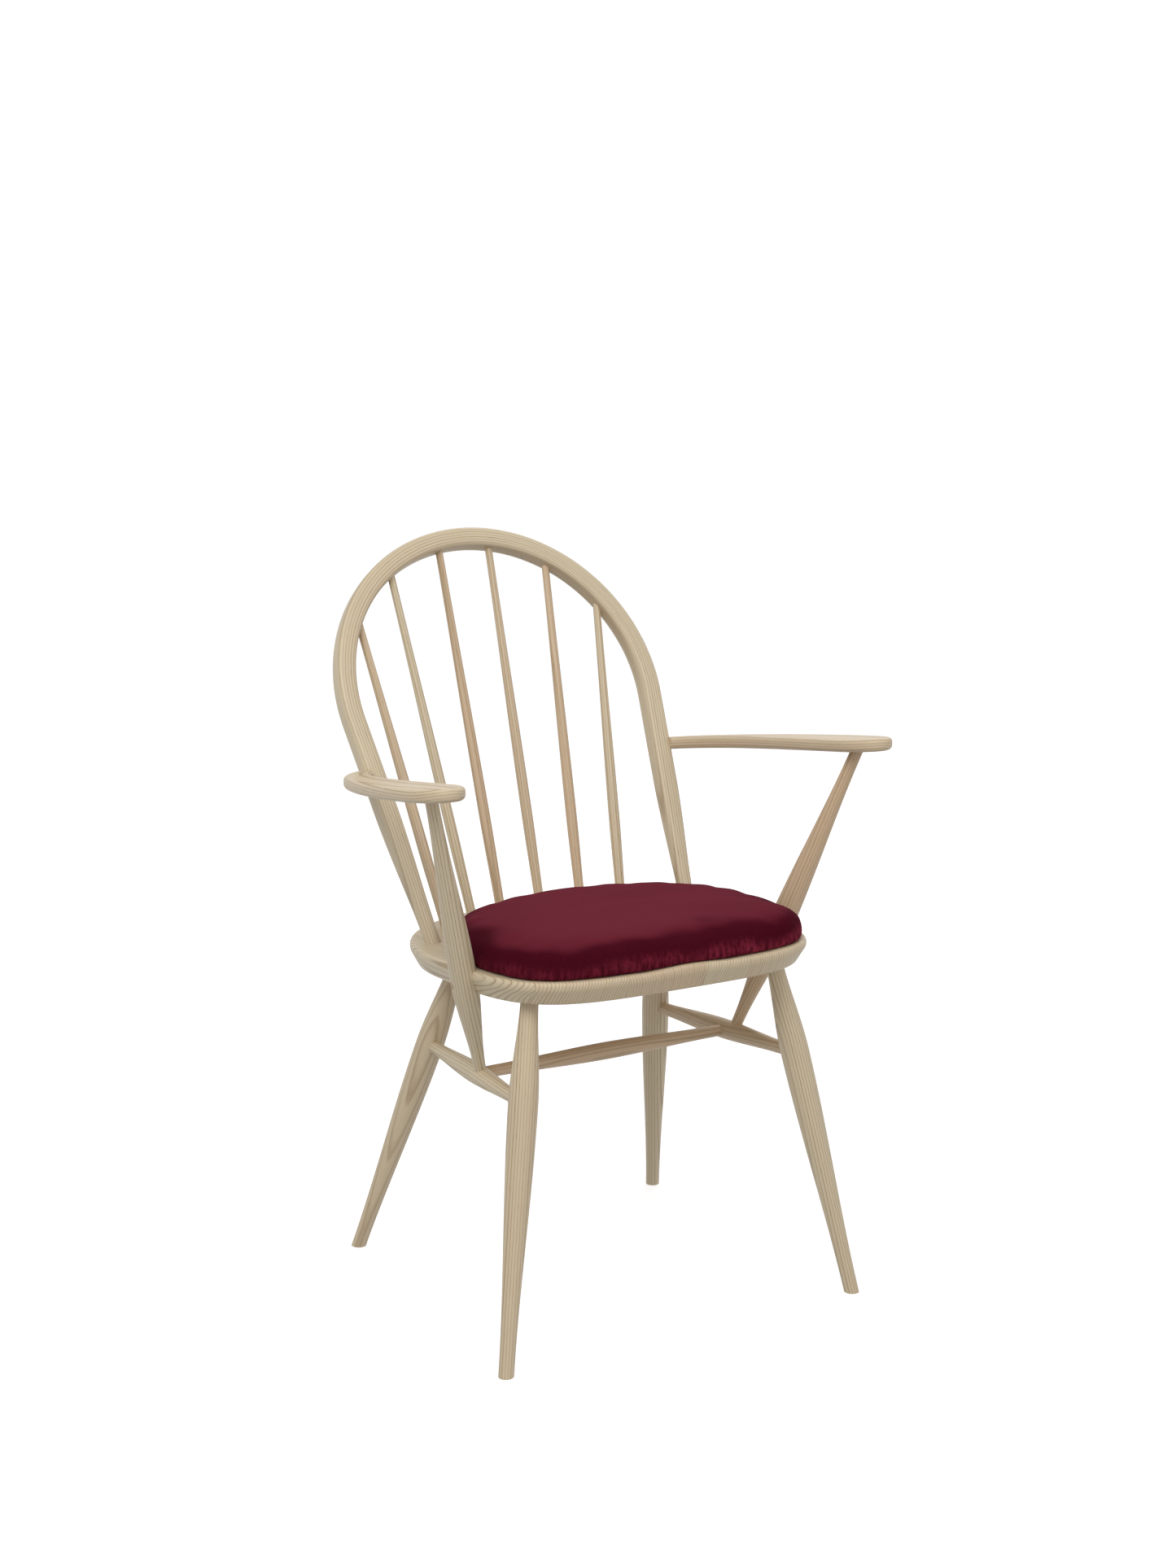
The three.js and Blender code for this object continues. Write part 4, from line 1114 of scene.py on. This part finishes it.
class ARMCHAIR_OT_seat(Operator):
    """Carves the saddled seat and saws it into its six glued boards"""
    bl_idname = "armchair.seat"
    bl_label = "Seat boards"

    facets = 288

    def edge_profile(self):
        """(inset, height) up the edge: a soft lower corner, a slanted side and a round rim."""
        seat = settings().seat
        t, u = seat.thickness, seat.undercut

        def bend(points, steps):
            p = np.array(points)
            s = np.linspace(0, 1, steps)[:, None]
            return ((1 - s) ** 3 * p[0] + 3 * (1 - s) ** 2 * s * p[1]
                    + 3 * (1 - s) * s * s * p[2] + s ** 3 * p[3])

        lower = bend([(u + 0.003, 0), (u + 0.001, 0), (u, 0.001), (u - 0.001, 0.003)], 6)
        upper = bend([(0.0012, t - 0.010), (0, t - 0.006), (0, t), (0.0055, t)], 12)
        side = np.linspace(lower[-1], upper[0], 6)[1:-1]
        return np.vstack([lower, side, upper])

    def execute(self, context):
        seat = settings().seat
        angles = 2 * np.pi * np.arange(self.facets) / self.facets
        rings = []
        for inset, height in self.edge_profile():
            x, y = outline(seat, angles, inset)
            share = height / seat.thickness
            carved = seat_surface(x, y) - seat_plane(y)
            rings.append(np.column_stack([x, y, seat_underside(y) + height + share * carved]))
        for inset in np.r_[np.arange(0.009, 0.16, 0.005), np.arange(0.16, 0.196, 0.009)]:
            x, y = outline(seat, angles, inset)
            rings.append(np.column_stack([x, y, seat_surface(x, y)]))
        middle = seat.widest_y
        points, faces = skin(rings, (0, middle, seat_underside(middle)),
                             (0, middle, float(seat_surface(0.0, middle))))
        whole = mesh_from("seat", points, faces)
        outward(whole)
        edges = [-1.0, *BOARD_SEAMS, 1.0]
        for i in range(len(edges) - 1):
            node = f"seat_board_{i + 1}"
            board = whole.copy()
            low, high = edges[i] + GLUE_LINE, edges[i + 1] - GLUE_LINE
            cut(board, Vector((low, 0, 0)), Vector((-1, 0, 0)))
            cut(board, Vector((high, 0, 0)), Vector((1, 0, 0)))
            co = np.zeros(len(board.vertices) * 3)
            board.vertices.foreach_get("co", co)
            co = co.reshape(-1, 3)
            offset = log_place(node)
            start = 0.0 if i == 0 else low
            grain = np.column_stack([co[:, 0] - start, co[:, 2] - seat.rim_height, co[:, 1]])
            layer = board.attributes.new("grain", "FLOAT_VECTOR", "POINT")
            layer.data.foreach_set("vector", (grain + np.array(offset)).astype(np.float32).ravel())
            board.transform(Matrix.Translation(SHIFT))
            add_wood("carved", board, node)
        bpy.data.meshes.remove(whole)
        return {"FINISHED"}


class ARMCHAIR_OT_joinery(Operator):
    """Gives the wedges and dowels their end-grain finish"""
    bl_idname = "armchair.joinery"
    bl_label = "Wedges and dowels"

    def execute(self, context):
        finish = material(end_grain_ash)
        for name, node in frame["nodes"].items():
            if "wedge" in name or "dowel" in name:
                node.data.materials.clear()
                node.data.materials.append(finish)
        return {"FINISHED"}


class ARMCHAIR_OT_plugs(Operator):
    """Plugs the screw hole in the outer face of each arm stump, level with the seat"""
    bl_idname = "armchair.plugs"
    bl_label = "Plugs"

    radius = 0.005
    proud = 0.0004
    depth = 0.004

    def execute(self, context):
        arm = settings().arm
        finish = material(end_grain_ash)
        foot, top = stump_ends()
        centre = stump_at_seat()
        axis = (top - foot).normalized()
        out = Vector((1, 0.12, 0))
        out = (out - axis * out.dot(axis)).normalized()
        beside = axis.cross(out)
        angles = 2 * np.pi * np.arange(40) / 40
        face = arm.stump_belly + self.proud
        # (radius, height along the plug): a softened rim, then a slightly domed face
        profile = [(1.0, -self.depth), (1.0, -self.proud), (0.95, -self.proud / 4),
                   (0.85, 0.0), (0.5, self.proud / 4)]
        for side, mirror in SIDES:
            rings = []
            for share, height in profile:
                ring = (np.outer(np.cos(angles), axis) + np.outer(np.sin(angles), beside))
                ring = ring * self.radius * share
                bend = (ring @ np.array(beside)) ** 2 / (2 * arm.stump_belly)
                level = face + height - bend
                rings.append(np.array(centre) + ring + np.outer(level, out))
            ends = [np.array(centre + out * (face - self.depth)),
                    np.array(centre + out * (face + self.proud / 3))]
            points, faces = skin(rings, *ends)
            if mirror:
                points = points * (-1, 1, 1)
            mesh = mesh_from("plug", shifted(points), faces)
            outward(mesh)
            finish_mesh(mesh)
            add_piece(f"face_plug_{side}", mesh, finish, "frame")
        return {"FINISHED"}


class ARMCHAIR_OT_cushion(Operator):
    """Fills the velvet cushion: a slack form swells by cloth simulation and settles on the seat"""
    bl_idname = "armchair.cushion"
    bl_label = "Cushion"

    facets = 120
    clearance = 0.0006
    recess = 0.0020
    tuck_width = 0.013
    tuck_height = 0.008

    def slack_form(self):
        cushion = settings().cushion
        angles = 2 * np.pi * np.arange(self.facets) / self.facets
        small = cushion.swell
        rings = []
        for inset in (0.15, 0.12, 0.09, 0.06, 0.035, 0.018, 0.008, 0.003, 0.0005):
            x, y = outline(cushion, angles, inset + small)
            rings.append(np.column_stack([x, y, seat_surface(x, y) + self.clearance]))
        height = cushion.edge_height - small
        crown = height + cushion.crown
        sides = [(-0.0008, 0.003), (-0.001, 0.010), (-0.001, 0.020), (0.0, height - 0.010),
                 (0.004, height - 0.003),
                 (0.012, height - 0.0005), (0.03, height + 0.001), (0.07, crown - 0.0012),
                 (0.12, crown)]
        for inset, over in sides:
            x, y = outline(cushion, angles, inset + small)
            rings.append(np.column_stack([x, y, seat_plane(y) + over]))
        y = cushion.widest_y
        return skin(rings, (0, y, float(seat_surface(0.0, y)) + self.clearance),
                    (0, y, seat_plane(y) + crown))

    def inflate(self, piece, held):
        """Runs the cloth simulation and returns the moved points, capped."""
        cushion = settings().cushion
        rest = points_of(piece.data)
        group = piece.vertex_groups.new(name="held")
        group.add([int(i) for i in np.nonzero(held)[0]], 1.0, "REPLACE")
        cloth = piece.modifiers.new("Cloth", "CLOTH")
        cloth.settings.vertex_group_mass = group.name
        cloth.settings.use_pressure = True
        cloth.settings.uniform_pressure_force = cushion.pressure
        cloth.settings.effector_weights.gravity = 0.0
        cloth.settings.quality = 6
        cloth.settings.mass = 0.3
        cloth.settings.tension_stiffness = 14
        cloth.settings.compression_stiffness = 14
        cloth.settings.bending_stiffness = 3
        cloth.point_cache.frame_start = 1
        cloth.point_cache.frame_end = 20
        scene = bpy.context.scene
        for number in range(1, 21):
            scene.frame_set(number)
        graph = bpy.context.evaluated_depsgraph_get()
        moved = points_of(piece.evaluated_get(graph).data)
        piece.modifiers.remove(cloth)
        piece.vertex_groups.clear()
        scene.frame_set(1)
        step = moved - rest
        length = np.linalg.norm(step, axis=1)[:, None]
        return rest + step * np.minimum(1.0, cushion.reach_cap / np.maximum(length, 1e-9))

    def settle(self, points):
        """Keeps the points over the seat and off the stumps."""
        cushion, arm = settings().cushion, settings().arm
        x, y, z = points.T
        # how deep inside the outline each point stands, as a share of the way to the middle
        depth = inner_distance(cushion, x, y)
        lift = self.clearance + self.recess * smooth((depth - cushion.hem) / 0.003)
        z = np.maximum(z, seat_surface(x, y) + lift)
        foot, top = stump_ends()
        axis = np.array((top - foot).normalized())
        belly_at = (stump_at_seat() - foot).length
        full = (top - foot).length
        cloud = np.column_stack([x, y, z])
        for sign in (1, -1):
            origin, way = np.array(foot) * (sign, 1, 1), axis * (sign, 1, 1)
            along = (cloud - origin) @ way
            share = smooth((along - belly_at) / (full - belly_at))
            radius = lerp(arm.stump_belly, arm.stump_top, share) + 0.0012
            off = cloud - origin - np.outer(along, way)
            distance = np.linalg.norm(off, axis=1)
            inside = distance < radius
            push = off[inside] * ((radius[inside] / distance[inside]) - 1)[:, None]
            cloud[inside] += push
        return cloud

    def tuck(self, points):
        """Draws the lower edge down to the seat, so that it closes with the rim."""
        x, y, z = points.T
        surface = seat_surface(x, y)
        over = z - surface - self.clearance
        rim = inner_distance(settings().cushion, x, y) < self.tuck_width
        share = np.clip(over / self.tuck_height, 0.0, 1.0)
        return np.column_stack([x, y, np.where(rim, surface + self.clearance + over * share, z)])

    def execute(self, context):
        cushion = settings().cushion
        points, faces = self.slack_form()
        mesh = mesh_from("slack", points, faces)
        outward(mesh)
        piece = bpy.data.objects.new("slack", mesh)
        bpy.context.scene.collection.objects.link(piece)
        remesh = piece.modifiers.new("Remesh", "REMESH")
        remesh.mode = "VOXEL"
        remesh.voxel_size = cushion.voxel
        relax = piece.modifiers.new("Relax", "SMOOTH")
        relax.iterations = 6
        relax.factor = 0.5
        piece.data = applied(piece)
        piece.modifiers.clear()
        rest = points_of(piece.data)
        height = rest[:, 2] - seat_surface(rest[:, 0], rest[:, 1])
        rest = self.inflate(piece, height < 0.004)
        put_points(piece.data, self.settle(rest))
        for _ in range(2):
            ease = piece.modifiers.new("Ease", "SMOOTH")
            ease.iterations = 8
            ease.factor = 0.5
            eased = applied(piece)
            piece.modifiers.remove(ease)
            piece.data = eased
            put_points(piece.data, self.settle(points_of(piece.data)))
        divide = piece.modifiers.new("Divide", "SUBSURF")
        divide.levels = divide.render_levels = 1
        mesh = applied(piece)
        bpy.data.objects.remove(piece)
        final = self.tuck(self.settle(points_of(mesh)))
        put_points(mesh, final)
        over = (final[:, 2] - seat_surface(final[:, 0], final[:, 1])) / cushion.edge_height
        layer = mesh.attributes.new("side_height", "FLOAT", "POINT")
        layer.data.foreach_set("value", over.astype(np.float32))
        mesh.transform(Matrix.Translation(SHIFT))
        outward(mesh)
        mesh.shade_smooth()
        velvet = material(velvet_material)
        filled = add_piece("filled_cushion", mesh, velvet, "cushion",
                           ["cushion_cover", "cushion_foam"])
        return {"FINISHED"}


def inner_distance(sizes, x, y):
    """Roughly how far a point stands inside an outline, in metres."""
    angles = np.arctan2(y - sizes.widest_y, x)
    edge_x, edge_y = outline(sizes, angles)
    edge = np.hypot(edge_x, edge_y - sizes.widest_y)
    return edge - np.hypot(x, y - sizes.widest_y)


def points_of(mesh):
    co = np.zeros(len(mesh.vertices) * 3)
    mesh.vertices.foreach_get("co", co)
    return co.reshape(-1, 3)


def put_points(mesh, points):
    mesh.vertices.foreach_set("co", np.asarray(points, np.float32).ravel())
    mesh.update()


def applied(piece):
    """The piece's mesh with its modifiers applied."""
    graph = bpy.context.evaluated_depsgraph_get()
    graph.update()
    return bpy.data.meshes.new_from_object(piece.evaluated_get(graph),
                                           preserve_all_data_layers=True, depsgraph=graph)


def stitch_tree():
    """Stitches along a curve: short round bars, head to tail with a gap."""
    tree = Tree("Stitches", [
        ("Curve", "NodeSocketGeometry", None),
        ("Pitch", "NodeSocketFloat", 0.005),
        ("Stitch Length", "NodeSocketFloat", 0.0036),
        ("Thread Radius", "NodeSocketFloat", 0.00035),
        ("Material", "NodeSocketMaterial", None),
    ])
    given = tree.inputs
    steps = tree.add("GeometryNodeResampleCurve",
                     {"Curve": given["Curve"], "Length": given["Pitch"]}, mode="LENGTH")
    tangent = tree.add("GeometryNodeInputTangent")
    aimed = tree.add("FunctionNodeAlignRotationToVector", {"Vector": tangent.outputs[0]},
                     axis="Z")
    bar = tree.add("GeometryNodeMeshCylinder",
                   {"Vertices": 8, "Radius": given["Thread Radius"],
                    "Depth": given["Stitch Length"]})
    rows = tree.add("GeometryNodeInstanceOnPoints",
                    {"Points": steps.outputs[0], "Instance": bar.outputs["Mesh"],
                     "Rotation": aimed.outputs[0]})
    return tree.close(rows.outputs[0], given["Material"])


class ARMCHAIR_OT_underside(Operator):
    """Closes the cushion's underside with a lining and a row of hem stitches"""
    bl_idname = "armchair.underside"
    bl_label = "Cushion underside"

    def execute(self, context):
        cushion = settings().cushion
        cloth = material(lining_material)
        angles = 2 * np.pi * np.arange(144) / 144
        low, high = 0.0007, 0.0022
        insets = (0.140, 0.110, 0.080, 0.055, 0.035, 0.023, 0.0172, 0.0165)
        rings = []
        for lift, row in ((low, insets), (high, insets[::-1])):
            for inset in row:
                x, y = outline(cushion, angles, inset)
                rings.append(np.column_stack([x, y, seat_surface(x, y) + lift]))
        y = cushion.widest_y
        middle = float(seat_surface(0.0, y))
        points, faces = skin(rings, (0, y, middle + low), (0, y, middle + high))
        mesh = mesh_from("lining", shifted(points), faces)
        outward(mesh)
        finish_mesh(mesh)
        add_piece("sewn_lining", mesh, cloth, "cushion", ["cushion_base_cloth"])

        x, y = outline(cushion, np.r_[angles, angles[:1]], cushion.hem - 0.004)
        path = shifted(np.column_stack([x, y, seat_surface(x, y) + 0.0005]))
        curve = bpy.data.curves.new("hem", "CURVE")
        curve.dimensions = "3D"
        spline = curve.splines.new("POLY")
        spline.points.add(len(path) - 1)
        spline.points.foreach_set("co", np.column_stack([path, np.ones(len(path))]).ravel())
        mesh = from_tree(stitch_tree(), {"Material": cloth}, curve)
        mesh.shade_smooth()
        add_piece("hem_stitches", mesh, cloth, "cushion")
        return {"FINISHED"}


class ARMCHAIR_OT_stage(Operator):
    """Lays the floor, hangs the lamps and sets up the camera"""
    bl_idname = "armchair.stage"
    bl_label = "Studio"

    # how strongly the sky lights from below and from above
    sky = (0.42, 0.56)
    # name, place, size, power, colour
    lamps = (
        ("key", (-1.9, -1.7, 3.2), 2.2, 50.0, (1.0, 0.99, 0.97)),
        ("front", (0.6, -3.6, 2.4), 2.6, 20.0, (1.0, 0.99, 0.98)),
        ("rim", (2.0, 2.0, 2.8), 1.8, 16.0, (0.97, 0.985, 1.0)),
    )

    def execute(self, context):
        scene, stage = context.scene, settings().stage
        bm = bmesh.new()
        bmesh.ops.create_circle(bm, cap_ends=True, radius=stage.floor_radius, segments=96)
        mesh = bpy.data.meshes.new("floor")
        bm.to_mesh(mesh)
        bm.free()
        mesh.materials.append(floor_material())
        floor = bpy.data.objects.new("floor", mesh)
        floor.location.z = -0.0004
        scene.collection.objects.link(floor)
        floor.visible_diffuse = False
        floor.visible_glossy = False
        aim = Vector((0, 0, 0.42))
        for name, place, size, power, colour in self.lamps:
            light = bpy.data.lights.new(name, "AREA")
            light.shape = "DISK"
            light.size = size
            light.energy = power
            light.color = colour
            lamp = bpy.data.objects.new(name, light)
            lamp.location = place
            lamp.rotation_euler = (aim - Vector(place)).to_track_quat("-Z", "Y").to_euler()
            scene.collection.objects.link(lamp)
        world = bpy.data.worlds.new("studio")
        world.use_nodes = True
        nodes, links = world.node_tree.nodes, world.node_tree.links
        soft = nodes["Background"]
        soft.inputs["Color"].default_value = (1.0, 1.0, 1.0, 1.0)
        place = nodes.new("ShaderNodeTexCoord")
        axes = nodes.new("ShaderNodeSeparateXYZ")
        links.new(place.outputs["Generated"], axes.inputs[0])
        fall = nodes.new("ShaderNodeMapRange")
        fall.interpolation_type = "SMOOTHSTEP"
        for socket, value in zip(list(fall.inputs)[1:], (-0.35, 0.35, *self.sky)):
            socket.default_value = value
        links.new(axes.outputs["Z"], fall.inputs[0])
        links.new(fall.outputs[0], soft.inputs["Strength"])
        seen = nodes.new("ShaderNodeBackground")
        seen.inputs["Strength"].default_value = 1.0
        seen.inputs["Color"].default_value = (1.0, 1.0, 1.0, 1.0)
        path = nodes.new("ShaderNodeLightPath")
        mixed = nodes.new("ShaderNodeMixShader")
        plain = nodes.new("ShaderNodeMath")
        plain.operation = "MAXIMUM"
        links.new(path.outputs["Is Camera Ray"], plain.inputs[0])
        links.new(path.outputs["Is Glossy Ray"], plain.inputs[1])
        links.new(plain.outputs[0], mixed.inputs[0])
        links.new(soft.outputs[0], mixed.inputs[1])
        links.new(seen.outputs[0], mixed.inputs[2])
        links.new(mixed.outputs[0], nodes["World Output"].inputs["Surface"])
        scene.world = world
        lens = bpy.data.cameras.new("camera")
        lens.sensor_width = 36.0
        lens.lens = stage.camera_lens
        camera = bpy.data.objects.new("camera", lens)
        camera.location = Vector(stage.camera_place) + SHIFT
        camera.rotation_euler = (stage.camera_tilt, 0.0, stage.camera_turn)
        scene.collection.objects.link(camera)
        scene.camera = camera
        scene.view_settings.view_transform = "Standard"
        return {"FINISHED"}


class ARMCHAIR_PT_build(Panel):
    """Lists the pieces of the armchair"""
    bl_idname = "ARMCHAIR_PT_build"
    bl_label = "Armchair"
    bl_space_type = "VIEW_3D"
    bl_region_type = "UI"
    bl_category = "Armchair"

    def draw(self, context):
        for operator in OPERATORS:
            self.layout.operator(operator.bl_idname)


GROUPS = (SeatSizes, TurningSizes, HoopSizes, SpindleSizes, ArmSizes, CushionSizes, Finishes,
          StageSizes, ArmchairSettings)
OPERATORS = (ARMCHAIR_OT_stage, ARMCHAIR_OT_seat, ARMCHAIR_OT_legs, ARMCHAIR_OT_stretchers,
             ARMCHAIR_OT_hoop, ARMCHAIR_OT_spindles, ARMCHAIR_OT_arms, ARMCHAIR_OT_stumps,
             ARMCHAIR_OT_joinery, ARMCHAIR_OT_plugs, ARMCHAIR_OT_cushion, ARMCHAIR_OT_underside)
CLASSES = (*GROUPS, *OPERATORS, ARMCHAIR_PT_build)


def register():
    for cls in CLASSES:
        bpy.utils.register_class(cls)
    bpy.types.Scene.armchair = PointerProperty(type=ArmchairSettings)


def unregister():
    del bpy.types.Scene.armchair
    for cls in reversed(CLASSES):
        bpy.utils.unregister_class(cls)


def main():
    register()
    for operator in OPERATORS:
        group, name = operator.bl_idname.split(".")
        getattr(getattr(bpy.ops, group), name)()


if __name__ == "__main__":
    main()
